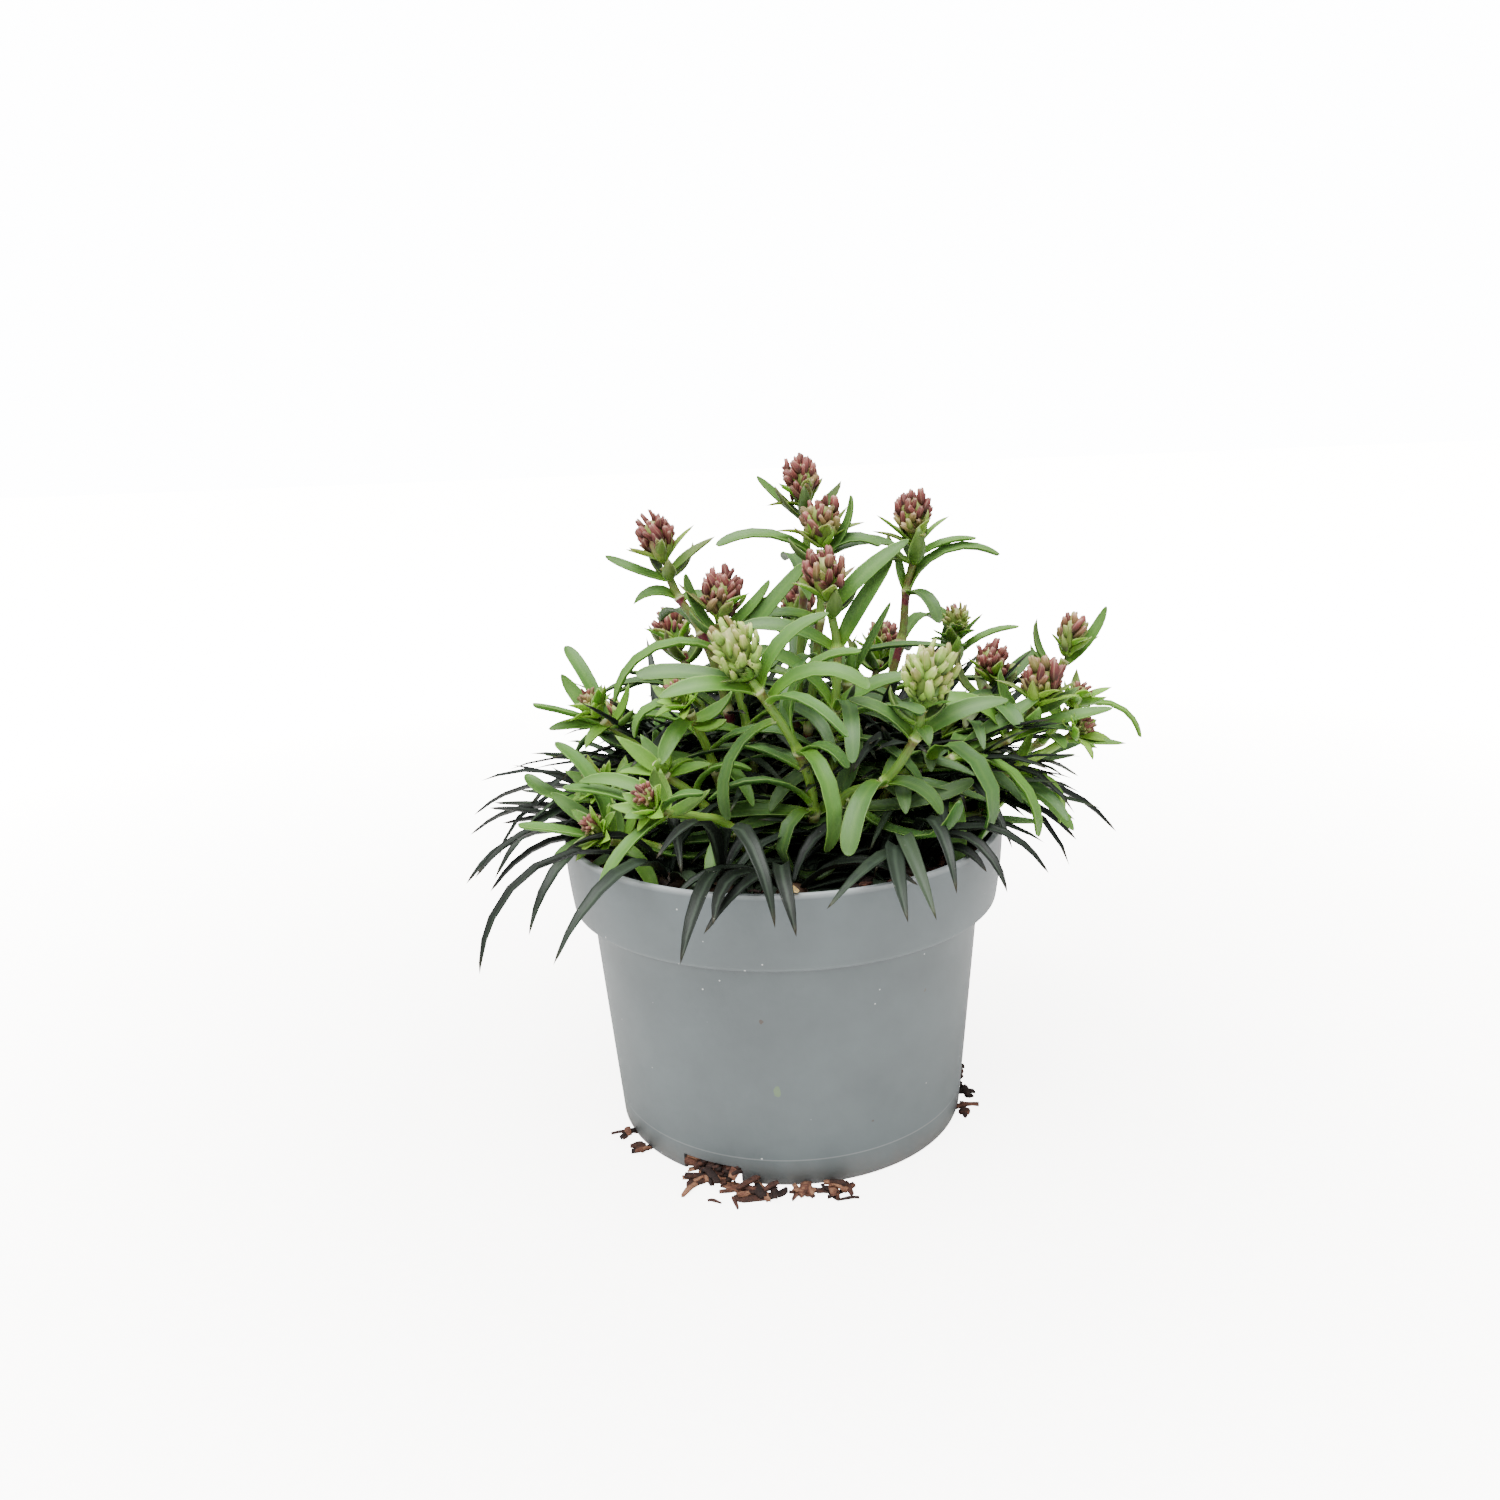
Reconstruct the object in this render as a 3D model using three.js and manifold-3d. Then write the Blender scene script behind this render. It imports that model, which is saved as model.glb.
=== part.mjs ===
// A potted alpine catchfly, 130 mm across the rim of its pot and just under 200 mm tall.
//
// The plant is a cushion of narrow blackish leaves that grows from crowns in bark compost, with green leafy
// stems rising through it. Each stem carries strap leaves in pairs and ends in a tight head of buds inside
// pointed bracts. It stands in a round grey nursery pot with a deep collar and three drain slots at the foot.
//
// Millimetres, +Z up. The origin is the middle of the pot's underside, and the side seen first faces -Y.
// A direction round the plant is a turn in degrees: 0 points to +X, 90 to +Y, 180 to -X and 270 to -Y.

import * as THREE from "three";
import { mergeVertices } from "three/addons/utils/BufferGeometryUtils.js";
import Module from "manifold-3d";

const wasm = await Module();
wasm.setup();

// The pot. Its collar hangs outside the wall from the lip down to collarBottom.
const pot = {
  rimRadius: 65,
  height: 91,
  collarBottom: 70,
  collarBottomRadius: 63.4,
  wallTopRadius: 58.2,
  footRadius: 52.8,
  footChamfer: 1.2,
  wall: 1.4,
  lip: 2,
  floor: 1.5,
  facets: 32,
};
const slot = { turns: [244, 4, 124], width: 18, height: 5.2, innerRadius: 45.5 };

// The compost: the height of its top, how much higher the middle is, and how far its bark stands up and down.
const soil = { top: 80, middleRise: 0.6, relief: 1.5, gap: 0.4, facets: 16 };

// Bark spilled along the foot from the slot at the front, each flake lapping the one before it.
const spilled = { turns: [250, 256, 262, 268, 274, 280], length: 7.4, out: 3.2, lift: 0.6 };

// Stems and leaves. Leaves leave their stem or crown at rootWidth and are keeled by thickness.
const clearance = 0.3; // between pieces that lie against each other
const stem = { radius: 1.5, sides: 4, holeRadius: 2 };
const crown = { pegRadius: 1.8, pegDepth: 5, holeRadius: 3.1 };
const blade = { thickness: 1, rootWidth: 1.8, arcSteps: 24 };
const bractDrop = { least: 1.9, spread: 1.8 }; // how far below the neck the bracts leave the stem

// Where a blade has a ring of corners, as a share of its length, and how wide it is there, as a share of its
// width. A width of 0 stands for the root.
const strap = { shares: [0, 0.2917, 0.625, 0.875], widths: [0, 0.94, 1, 0.7] };
const shortStrap = { shares: [0, 0.375, 0.75], widths: [0, 1, 0.8] };
const bract = { shares: [0, 0.4583], widths: [0, 1] };
const darkBlade = { shares: [0, 0.375, 0.7083], widths: [0.26, 1, 0.86] };

// A head's corners: columns round it, rows down it, the rows that hold bud tips, how deep the valleys between
// buds lie and how far the tips lean upwards, as shares of the head's size.
const buds = { columns: 10, rows: 6, tipRows: [0, 2, 4], valley: 0.74, lowest: 0.59, lean: 0.2 };

// The plant's stems. A row holds a name, the points of the stem, its head and its leaves.
// The points, each x, y and z, run from the hole in the soil to the neck under the head.
// The head is x, y and z of its middle, its radius and its half height, or null where leaves end the stem.
// A leaf is the number of the stem's point that it grows from, its turn, its rise and fall (how steeply it
// leaves the stem and how steeply its tip runs, in degrees above level), its length, its width, its face (how
// far its upper side rolls towards -Y) and its sweep (how far its turn swings round on the way to the tip).
const stems = [
  ["front_left",
    [[4, -14, 71], [9, -26, 100], [5, -30, 119], [-5, -34, 137], [-7, -34, 140]],
    [-11, -34, 149, 7.6, 9],
    [
      [1, 245, 47, -225, 44, 5.4, 0, -59], [1, 12, 25, 100, 32, 5.6, 30, 30], [1, 180, 8, -22, 36, 6, 30],
      [2, 289, 30, -135, 43, 5.6, 0, 14], [2, 13, 125, -10, 42, 5.2, 20, -31],
      [2.5, 178, -11, -114, 36, 4.6, 20, 48],
      [2.75, -12, 65, -48, 33, 6, 35], [3, 0, 85, 8, 30, 5.6, 35], [3, 196, 28, -25, 28, 6.2, 30],
      [4, 176, 30, -12, 34, 6.4, 35], [4, 120, 50, 80, 17, 5],
    ]],
  ["front_right",
    [[9, -15, 71], [16, -27, 103], [28, -34, 111], [36, -36, 123], [38, -36, 131]],
    [40, -36, 141, 7.4, 9],
    [
      [1, -5, -8, 28, 38, 5.8, 30], [2, 238, 28, -80, 34, 6.6], [2, -20, 20, -75, 20, 5.4, 20],
      [3, 182, 62, 5, 22, 5.8, 30], [3, 8, 42, -4, 28, 6, 40], [3.4, 282, 20, -70, 10, 4.8],
      [4, 80, 40, 90, 18, 5.5], [4, 165, 20, 85, 13, 4.5], [4, 20, 15, 80, 13, 4.5],
      [2, 60, 40, -30, 26, 5.2],
    ]],
  ["centre",
    [[10, -4, 71], [15, -12, 108], [16, -16, 127], [17, -14, 144], [15, -14, 157]],
    [14, -14, 166, 6.4, 6.6],
    [
      [2, 180, 72, 5, 32, 6, 30], [2, 2, 50, -8, 26, 6, 30], [3, 182, 42, -10, 29, 6.4, 35],
      [3, 3, 66, 48, 29, 6, 45], [4, 3, 52, 28, 29, 6, 45], [4, 20, 25, 65, 12, 4],
      [4, 278, 12, 85, 12, 4.8], [1, 215, 30, -60, 28, 5.6, 20], [1, -40, 25, -60, 30, 5.6, 20],
      [2.4, 80, 45, -35, 30, 5.4],
    ]],
  ["upper",
    [[5, 2, 71], [9, 2, 118], [13, 3, 150], [14, 4, 170]],
    [14, 4, 179, 6.2, 6.8],
    [
      [3, 182, 55, -32, 34, 4.8, 25], [3, -3, 60, -42, 20, 5, 25], [3, 18, 40, -30, 26, 4.6, 30],
      [3, 5, 25, 78, 20, 4, 30], [3, 195, 15, 60, 13, 3.4], [2, 200, 10, -85, 20, 5, 20],
      [2, 188, 30, -50, 32, 5.2, 30], [1, 120, 40, -40, 34, 5.2], [1.5, 95, 45, -45, 34, 5.4],
      [2.2, 80, 45, -30, 28, 5],
    ]],
  ["summit",
    [[2, 10, 71], [6, 14, 122], [9, 16, 158], [11, 16, 181]],
    [9, 16, 190, 6, 6.6],
    [
      [3, 178, 42, 44, 20, 4, 30], [3, 205, 35, 55, 15, 4.4, 30], [3, 262, 15, 88, 14, 4.6],
      [3, 0, 28, 60, 14, 4, 35], [3, 120, 30, 85, 15, 3.6], [2, 100, 50, -30, 34, 5.2],
      [2, 280, 30, -50, 16, 4.8], [1, 20, 45, -40, 36, 5.6], [1, 160, 45, -40, 36, 5.6],
      [1.4, 85, 45, -40, 34, 5.4],
    ]],
  ["right_tall",
    [[16, 8, 71], [31, 15, 118], [38, 18, 140], [40, 20, 155], [43, 20, 167]],
    [42, 20, 178, 5.8, 8],
    [
      [3, -4, 76, -36, 35, 4.8, 20], [3, 172, 75, 80, 14, 4, 35], [3, 305, 25, -85, 19, 5.4],
      [4, 0, 42, -12, 20, 3.4, 25], [4, 182, 45, -80, 18, 3.8, 20], [4, 195, 25, 75, 13, 3.2, 30],
      [4, 275, 18, 88, 15, 5.4], [4, 100, 25, 80, 15, 4.4], [2, 60, 45, -40, 34, 5.2],
      [1, -10, 40, -45, 34, 5.4, 20], [1.5, 75, 45, -40, 34, 5.4],
    ]],
  ["left_tall",
    [[-7, 6, 71], [-15, 4, 124], [-22, 6, 147], [-28, 8, 157], [-32, 10, 166]],
    [-34, 10, 176, 5.8, 6.6],
    [
      [3, 182, 48, -60, 16, 5.2, 30], [3, 0, 25, -62, 17, 5, 30], [4, 184, 18, 26, 20, 4.2, 35],
      [4, -2, 48, 22, 18, 3.6, 35], [4, 150, 28, 88, 14, 3.8], [4, 25, 25, 75, 13, 3],
      [4, 275, 10, 85, 9, 4.4], [2, 120, 45, -45, 32, 5.2], [1, 80, 45, -45, 34, 5.4],
      [1.5, 95, 45, -40, 34, 5.4],
    ]],
  ["left_centre",
    [[-4, -4, 71], [-9, -4, 118], [-14, -5, 142], [-16, -4, 151]],
    [-15, -4, 160, 6.4, 7.2],
    [
      [3, 180, 40, 84, 21, 5, 35], [3, 205, 22, 68, 13, 3.4], [3, 90, 25, 90, 18, 4.6],
      [3, 2, 30, 58, 20, 4.4, 40], [2, 12, 48, 58, 20, 4.8, 40], [2, 180, 40, -82, 44, 5.2, 15],
      [2, -4, 50, 46, 34, 6, 45], [1, 200, 35, -45, 30, 5.6, 20], [1.4, 100, 45, -40, 32, 5.4],
    ]],
  ["right_arm",
    [[15, -7, 71], [33, -14, 105], [49, -14, 111], [65, -12, 116], [73, -10, 124]],
    [75, -10, 133, 6.4, 6.8],
    [
      [2, 322, 30, -98, 41, 5.4], [2, 8, 42, 28, 31, 5.8, 40], [3, 186, 78, -20, 28, 5.6, 35],
      [3, 0, 26, 4, 31, 5, 35], [4, 168, 35, 92, 17, 4.8, 30], [4, 0, 22, 35, 16, 4.4, 30],
      [4, 290, 0, 70, 9, 4.6], [1, 270, 30, -60, 30, 5.6], [2, 80, 40, -30, 26, 5.2],
    ]],
  ["right_ruby",
    [[20, 4, 71], [44, 4, 109], [63, 4, 128]],
    [63, 2, 137, 5.2, 5.6],
    [
      [2, 172, 25, 108, 17, 3.8, 30], [2, 90, 30, 100, 16, 3.8], [2, 8, 30, 48, 19, 5.2, 45],
      [2, -12, 12, 62, 12, 3.8, 30], [2, 228, -20, -58, 15, 4.8, 30], [1, 100, 45, -40, 30, 5.2],
      [1, 260, 40, -50, 28, 5.2],
    ]],
  ["right_high",
    [[25, 9, 71], [58, 10, 112], [78, 9, 122], [86, 10, 134]],
    [88, 10, 143, 4.3, 5],
    [
      [3, 174, 38, 98, 18, 3.8, 30], [3, 195, 30, 68, 13, 2.6, 30], [3, -2, 36, 70, 22, 4.4, 40],
      [3, 182, 20, -50, 13, 4, 30], [2, 60, 40, -30, 22, 5], [1, 120, 45, -40, 28, 4.8],
    ]],
  ["right_edge",
    [[25, -1, 71], [60, -3, 103], [77, -1, 112], [85, 0, 121]],
    [89, 0, 127, 3.8, 4.4],
    [
      [3, -4, 55, -78, 30, 2.8, 15], [3, 150, 50, 80, 14, 5, 40], [3, 30, 30, 45, 10, 2.2],
      [2, 285, 30, -50, 20, 5], [1, 60, 40, -40, 28, 5.4],
    ]],
  ["right_low",
    [[22, -14, 71], [50, -12, 98], [66, -11, 106], [77, -11, 112], [84, -10, 116]],
    [88, -10, 119, 3.4, 4.2],
    [
      [2, -12, 22, -115, 27, 4.4, 10], [2, -22, -15, -52, 25, 5.2, 40], [2, 10, 50, 72, 14, 4.2, 35],
      [4, -6, 0, -10, 17, 3, 30], [4, -15, 20, -45, 10, 2.4], [1, 265, 25, -70, 30, 5],
    ]],
  ["far_right",
    [[24, 20, 71], [44, 29, 108], [57, 34, 133]],
    [57, 34, 145, 5.6, 7],
    [
      [2, 192, 22, 60, 12, 3.6], [2, -2, 55, -5, 24, 3.4, 25], [2, 100, 20, 85, 14, 4.2],
      [2, 280, 20, 88, 13, 5], [1, 180, 40, -40, 28, 5.2, 20], [1, 40, 45, -40, 32, 5.2],
    ]],
  ["left_high",
    [[-17, 3, 71], [-36, 2, 107], [-52, 0, 123]],
    [-56, 0, 130, 3.8, 4.6],
    [
      [2, 178, 40, 66, 22, 5.2, 45], [2, 186, 22, -18, 19, 4.4, 30], [2, 228, 10, -70, 12, 4.8],
      [2, 15, 45, 78, 14, 3.6, 30], [2, 330, 20, 50, 11, 4.6], [1, 120, 45, -35, 30, 5.2],
      [1, 240, 40, -40, 26, 5],
    ]],
  ["left_mid",
    [[-11, -7, 71], [-19, -11, 110], [-25, -16, 128]],
    [-29, -16, 135, 4.2, 4.6],
    [
      [2, 182, 75, -100, 27, 4.4, 15], [2, 240, 0, -62, 20, 5.4, 30], [2, -8, 10, 60, 15, 5.6, 30],
      [2, 320, -10, 30, 13, 5.6, 30], [1, 175, 25, 0, 20, 5, 30], [1, 300, 30, -60, 26, 5],
    ]],
  ["left_low",
    [[-17, -8, 71], [-36, -12, 98], [-51, -14, 105]],
    [-55, -14, 110, 3.8, 4.4],
    [
      [2, 174, 32, 30, 17, 4.8, 45], [2, 192, 20, 62, 13, 4.8, 40], [2, 320, 20, 70, 10, 5],
      [2, 60, 40, 60, 13, 5], [1, 130, 40, -35, 26, 4.8], [1, 200, 30, -20, 20, 5.4, 30],
    ]],
  ["front_low",
    [[-3, -19, 71], [-14, -29, 97], [-23, -35, 103], [-33, -40, 106]],
    [-37, -41, 112, 4.4, 4.8],
    [
      [3, 171, 53, -22, 30, 4.4, 40, -6], [3, 150, 35, 88, 14, 4.6, 35], [3, -12, 20, 41, 15, 4.6, 40, -11],
      [3, 222, -5, -60, 29, 5], [3, 110, 45, 70, 13, 4.8], [1, 20, 15, -5, 22, 4.8, 35],
      [1, 250, 20, -70, 22, 5],
    ]],
  ["left_rim",
    [[-18, -15, 71], [-35, -26, 91], [-48, -32, 96]],
    [-53, -33, 102, 4.2, 4.8],
    [
      [2, 174, 35, 36, 24, 5.2, 45], [2, 187, 20, -38, 20, 4.8, 30], [2, 318, -15, -68, 19, 5.2, 20],
      [2, 40, 45, 75, 12, 4.6], [2, 100, 45, 80, 12, 4.6], [1, 200, 20, -35, 22, 5.4, 20],
    ]],
  ["left_leafy",
    [[-10, -14, 71], [-21, -20, 100], [-32, -24, 112], [-34, -25, 116]],
    null,
    [
      [2, -4, 25, 0, 14, 4.4, 35], [2, 182, 25, -15, 14, 3.8, 30], [2, 170, 42, 36, 18, 5.2, 45],
      [2, 140, 50, 48, 14, 5.2, 40], [2, 20, 62, -40, 11, 3.6], [3, 270, 30, 80, 7, 4.6],
      [3, 30, 60, 85, 6, 4], [1, 0, 18, -6, 22, 5, 40],
    ]],
  ["right_rim",
    [[24, -8, 71], [44, -8, 89], [59, -3, 91], [63, -2, 93]],
    null,
    [
      [3, 300, 15, 70, 8, 5], [3, 0, 20, 75, 8, 5], [3, 60, 20, 80, 8, 5], [2, 60, 30, -30, 18, 5],
      [1, 130, 40, -30, 24, 4.8],
    ]],
  ["centre_slim",
    [[17, 0, 71], [20, -6, 112], [20, -8, 133], [21, -8, 138]],
    null,
    [
      [2, 4, 62, 60, 26, 2.8, 40], [3, 175, 60, 92, 11, 3], [3, 20, 60, 85, 10, 3],
      [3, 265, 60, 92, 10, 3.2], [1, 90, 45, -30, 28, 5],
    ]],
  ["back_left",
    [[-12, 14, 71], [-22, 26, 112], [-30, 36, 136]],
    [-33, 40, 144, 6, 6.8],
    [
      [2, 150, 30, 60, 18, 4.6], [2, 60, 25, 70, 16, 4.4], [2, 240, 20, 75, 15, 4.2],
      [2, 330, 20, 80, 14, 4], [1, 110, 55, -45, 36, 5.8], [1, 290, 45, -30, 24, 5.2],
      [1, 190, 45, -40, 34, 5.6], [1.5, 200, 40, -35, 28, 5.2],
    ]],
  ["back_centre",
    [[2, 20, 71], [5, 34, 116], [7, 44, 142]],
    [8, 47, 151, 6.4, 7],
    [
      [2, 100, 25, 65, 18, 4.6], [2, 10, 25, 70, 16, 4.4], [2, 190, 22, 75, 16, 4.2],
      [2, 280, 20, 80, 14, 4], [1, 60, 55, -45, 36, 5.8], [1, 150, 50, -40, 34, 5.6],
      [1.5, 250, 45, -30, 26, 5.2],
    ]],
  ["back_right",
    [[13, 21, 71], [26, 38, 108], [34, 50, 128]],
    [36, 53, 136, 5.8, 6.6],
    [
      [2, 60, 28, 55, 18, 4.6], [2, 150, 25, 70, 16, 4.4], [2, 330, 22, 70, 16, 4.2],
      [2, 240, 20, 80, 14, 4], [1, 100, 50, -45, 34, 5.8], [1, 10, 50, -40, 32, 5.6],
      [1.5, 140, 45, -35, 28, 5.2],
    ]],
  ["back_low_left",
    [[-20, 14, 71], [-38, 28, 96], [-52, 38, 108]],
    [-56, 41, 115, 5.2, 5.8],
    [
      [2, 145, 25, 30, 19, 5.2], [2, 60, 25, 60, 15, 4.6], [2, 230, 22, 60, 15, 4.6],
      [2, 320, 25, 80, 12, 4], [1, 110, 45, -40, 32, 5.4], [1, 200, 45, -40, 32, 5.4],
    ]],
  ["back_low",
    [[-6, 25, 71], [-8, 46, 100], [-9, 60, 112]],
    [-10, 65, 119, 5.4, 6],
    [
      [2, 100, 22, 30, 20, 5.2], [2, 10, 25, 60, 15, 4.6], [2, 190, 22, 60, 15, 4.6],
      [2, 280, 25, 80, 12, 4], [1, 60, 45, -45, 32, 5.4], [1, 140, 45, -40, 32, 5.4],
    ]],
];
const unripe = ["far_right", "left_mid", "right_low"]; // heads still green, each one piece with its stem

// The crowns that the dark leaves grow from, each a short knob in the soil. A row holds a name, x, y, the
// knob's radius, the number of its drawn leaves and the turn that they spiral from.
const crowns = [
  ["front", 2, -43, 4.6, 3, 60],
  ["front_right", 36, -27, 4.6, 3, 60],
  ["right", 44, 19, 4.6, 9, 20],
  ["back_right", 36, 38, 4.6, 9, 60],
  ["back", 9, 48, 4.6, 10, 95],
  ["back_left", -24, 42, 4.6, 10, 130],
  ["left", -42, 15, 4.6, 8, 170],
  ["left_low", -43, -5, 4.6, 6, 190],
  ["front_left", -32, -32, 4.6, 3, 20],
  ["front_mid", -17, -41, 4.6, 3, 80],
];
const darkLeaf = { shortest: 44, longest: 60, steepExtra: 24, width: 4.6 };
const frontCrowns = { backTo: -20, share: 0.55 }; // those in front of backTo have drawn leaves of this share

// Dark leaves that hang over the rim or reach past it, by crown: turn, rise, fall, length, width, face and
// sweep.
const overRim = {
  front: [[258, 56, -46, 50, 4.4, 0, -34], [233, 50, -30, 52, 4.4, 0, 40], [246, 65, -73, 47, 4.4, 0, 39]],
  front_mid: [
    [277, 70, -39, 62, 4.4, 0, -28], [272, 58, -62, 55, 4.4, 0, -25], [283, 81, -93, 68, 5, 0, 11],
  ],
  front_left: [
    [194, 65, -72, 73, 4.4, 0, 38], [263, 54, -60, 65, 4.4, 0, -39], [212, 73, -55, 36, 4.2, 0, -34],
  ],
  left_low: [[197, 36, -70, 56, 4.4], [182, 30, -14, 44, 4.2], [210, 40, -62, 50, 4.2]],
  left: [[188, 26, -4, 46, 4.4], [176, 34, -8, 40, 4.2], [200, 22, -18, 46, 4.2]],
  front_right: [
    [260, 46, -30, 61, 4.4, 0, -34], [249, 46, -43, 67, 5, 0, 28], [250, 61, -49, 66, 4.4, 0, 39],
    [279, 84, -68, 57, 4.2], [311, 73, -69, 46, 4, 0, -10], [326, 67, -71, 49, 4.2, 0, 20],
  ],
  right: [[322, 38, -60, 56, 4.4], [338, 32, -62, 50, 4.2], [354, 30, -50, 46, 4.2], [8, 40, -60, 46, 4]],
};

const rad = THREE.MathUtils.degToRad;
const lerp = THREE.MathUtils.lerp;
const zUp = new THREE.Vector3(0, 0, 1);

// The same run of numbers between 0 and 1 for the same seed.
function seeded(seed) {
  let state = seed;
  return () => {
    state = (state * 1664525 + 1013904223) % 4294967296;
    return state / 4294967296;
  };
}

// A three.js geometry as a solid that can be joined and cut.
function toSolid(geometry) {
  const bare = new THREE.BufferGeometry();
  bare.setAttribute("position", geometry.getAttribute("position"));
  bare.setIndex(geometry.index);
  const merged = mergeVertices(bare, 1e-4);
  const mesh = new wasm.Mesh({
    numProp: 3,
    vertProperties: new Float32Array(merged.attributes.position.array),
    triVerts: new Uint32Array(merged.index.array),
  });
  return new wasm.Manifold(mesh);
}

function toGeometry(solid) {
  const mesh = solid.getMesh();
  const geometry = new THREE.BufferGeometry();
  geometry.setAttribute("position", new THREE.BufferAttribute(mesh.vertProperties, 3));
  geometry.setIndex(new THREE.BufferAttribute(mesh.triVerts, 1));
  geometry.computeVertexNormals();
  return geometry;
}

// One solid from several that meet.
function fuse(solids) {
  const bodies = wasm.Manifold.union(solids).decompose();
  return bodies.reduce((a, b) => (a.volume() > b.volume() ? a : b));
}

// A solid of revolution about Z from pairs of radius and height.
function turned(profile, facets) {
  const geometry = new THREE.LatheGeometry(profile.map(([r, z]) => new THREE.Vector2(r, z)), facets);
  geometry.rotateX(Math.PI / 2);
  return geometry;
}

// A rod with a regular section along a curve.
function rod(curve, radius, sides, steps) {
  const section = new THREE.Shape();
  for (let i = 0; i < sides; i++) {
    const angle = (2 * Math.PI * i) / sides;
    const corner = [Math.cos(angle) * radius, Math.sin(angle) * radius];
    if (i === 0) section.moveTo(...corner);
    else section.lineTo(...corner);
  }
  section.closePath();
  return new THREE.ExtrudeGeometry(section, { steps, bevelEnabled: false, extrudePath: curve });
}

// A stem's centre line: a smooth curve through its points, asked for by point number.
function stemLine(points) {
  const corners = points.map((p) => new THREE.Vector3(...p));
  const curve = new THREE.CatmullRomCurve3(corners, false, "catmullrom", 0.5);
  const last = points.length - 1;
  return { curve, last, at: (index) => curve.getPoint(index / last) };
}

function stemSolid(points, radius) {
  const { curve, last } = stemLine(points);
  return toSolid(rod(curve, radius, stem.sides, last + 2));
}

// A plain hole for a stem or a peg.
function hole(from, to, radius) {
  return toSolid(rod(new THREE.LineCurve3(from, to), radius, stem.sides, 1));
}

// Where a leaf leaves its stem. Bracts leave a little below the neck, each at its own height.
function leafRoot(points, index, turn) {
  const { curve, last, at } = stemLine(points);
  if (index < last) return at(index);
  const drop = bractDrop.least + Math.abs(Math.sin(rad(turn * 1.5))) * bractDrop.spread;
  return at(last).addScaledVector(curve.getTangent(1), -drop);
}

// A leaf's centre line is an arc that starts at rise, runs out at fall and swings round by sweep. At a share
// of the length it gives the point, the direction across the blade and the direction out of its upper side.
function leafLine(root, [turn, rise, fall, length, , face = 0, sweep = 0]) {
  const heading = (share) => {
    const angle = rad(turn + sweep * share);
    const slope = rad(rise + (fall - rise) * share);
    const flat = Math.cos(slope);
    return {
      along: new THREE.Vector3(Math.cos(angle) * flat, Math.sin(angle) * flat, Math.sin(slope)),
      across: new THREE.Vector3(-Math.sin(angle), Math.cos(angle), 0),
    };
  };
  const points = [root.clone()];
  for (let i = 0; i < blade.arcSteps; i++) {
    const { along } = heading((i + 0.5) / blade.arcSteps);
    points.push(points[i].clone().addScaledVector(along, length / blade.arcSteps));
  }
  const roll = rad(face) * (Math.cos(rad(turn)) < 0 ? 1 : -1);
  return (share) => {
    const { along, across } = heading(share);
    const upright = along.clone().cross(across);
    return {
      point: points[Math.round(share * blade.arcSteps)],
      side: across.clone().multiplyScalar(Math.cos(roll)).addScaledVector(upright, -Math.sin(roll)),
      up: upright.clone().multiplyScalar(Math.cos(roll)).addScaledVector(across, Math.sin(roll)),
    };
  };
}

// A keeled blade: a three-sided cone whose rings are laid along the leaf's line. fatter makes it thicker all
// round, and skip leaves out that many rings at its root.
function bladeSolid(root, row, shape, fatter = 0, skip = 0) {
  const line = leafLine(root, row);
  const shares = shape.shares.slice(skip);
  const widths = shape.widths.slice(skip);
  const geometry = new THREE.ConeGeometry(1, 1, 3, shares.length);
  const position = geometry.getAttribute("position");
  for (let i = 0; i < position.count; i++) {
    const ring = Math.round((position.getY(i) + 0.5) * shares.length);
    const isTip = ring === shares.length;
    const { point, side, up } = line(isTip ? 1 : shares[ring]);
    const spot = point.clone();
    const onAxis = Math.hypot(position.getX(i), position.getZ(i)) < 1e-6;
    if (!onAxis && !isTip) {
      const width = widths[ring] ? row[4] * widths[ring] : blade.rootWidth;
      const angle = Math.atan2(position.getX(i), position.getZ(i));
      const corner = Math.round((3 * angle) / (2 * Math.PI) + 3) % 3;
      if (corner === 0) spot.addScaledVector(up, -blade.thickness - fatter);
      if (corner === 1) spot.addScaledVector(side, width / 2 + fatter).addScaledVector(up, fatter);
      if (corner === 2) spot.addScaledVector(side, -width / 2 - fatter).addScaledVector(up, fatter);
    }
    position.setXYZ(i, spot.x, spot.y, spot.z);
  }
  return toSolid(geometry);
}

// Short leaves are bracts, long or strongly curved ones are straps with a ring more.
function greenShape([, rise, fall, length]) {
  if (length < 19) return bract;
  return length > 33 || Math.abs(fall - rise) > 90 ? strap : shortStrap;
}

// Everything that has grown so far. A new leaf is bent clear of it.
const grown = [];
function keep(owner, solid) {
  grown.push({ owner, solid, box: solid.boundingBox() });
}
function apart(a, b) {
  return [0, 1, 2].some((k) => a.max[k] < b.min[k] || b.max[k] < a.min[k]);
}
function meets(solid, others) {
  const box = solid.boundingBox();
  return others.some((other) => {
    if (apart(box, other.box)) return false;
    const common = solid.intersect(other.solid);
    const hit = !common.isEmpty();
    common.delete();
    return hit;
  });
}

// Ways to bend a leaf, the gentlest first: degrees of turn, degrees of rise and share of its length.
const bends = [1, 0.8].flatMap((share) => {
  const ways = [];
  for (let turn = -36; turn <= 36; turn += 6) {
    for (let rise = -24; rise <= 24; rise += 6) ways.push([turn, rise, share]);
  }
  return ways.sort((a, b) => Math.hypot(a[0], a[1] * 1.1) - Math.hypot(b[0], b[1] * 1.1));
});
function bent([turn, rise, fall, length, ...others], [moreTurn, moreRise, share]) {
  return [turn + moreTurn, rise + moreRise, fall + moreRise, length * share, ...others];
}

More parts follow.
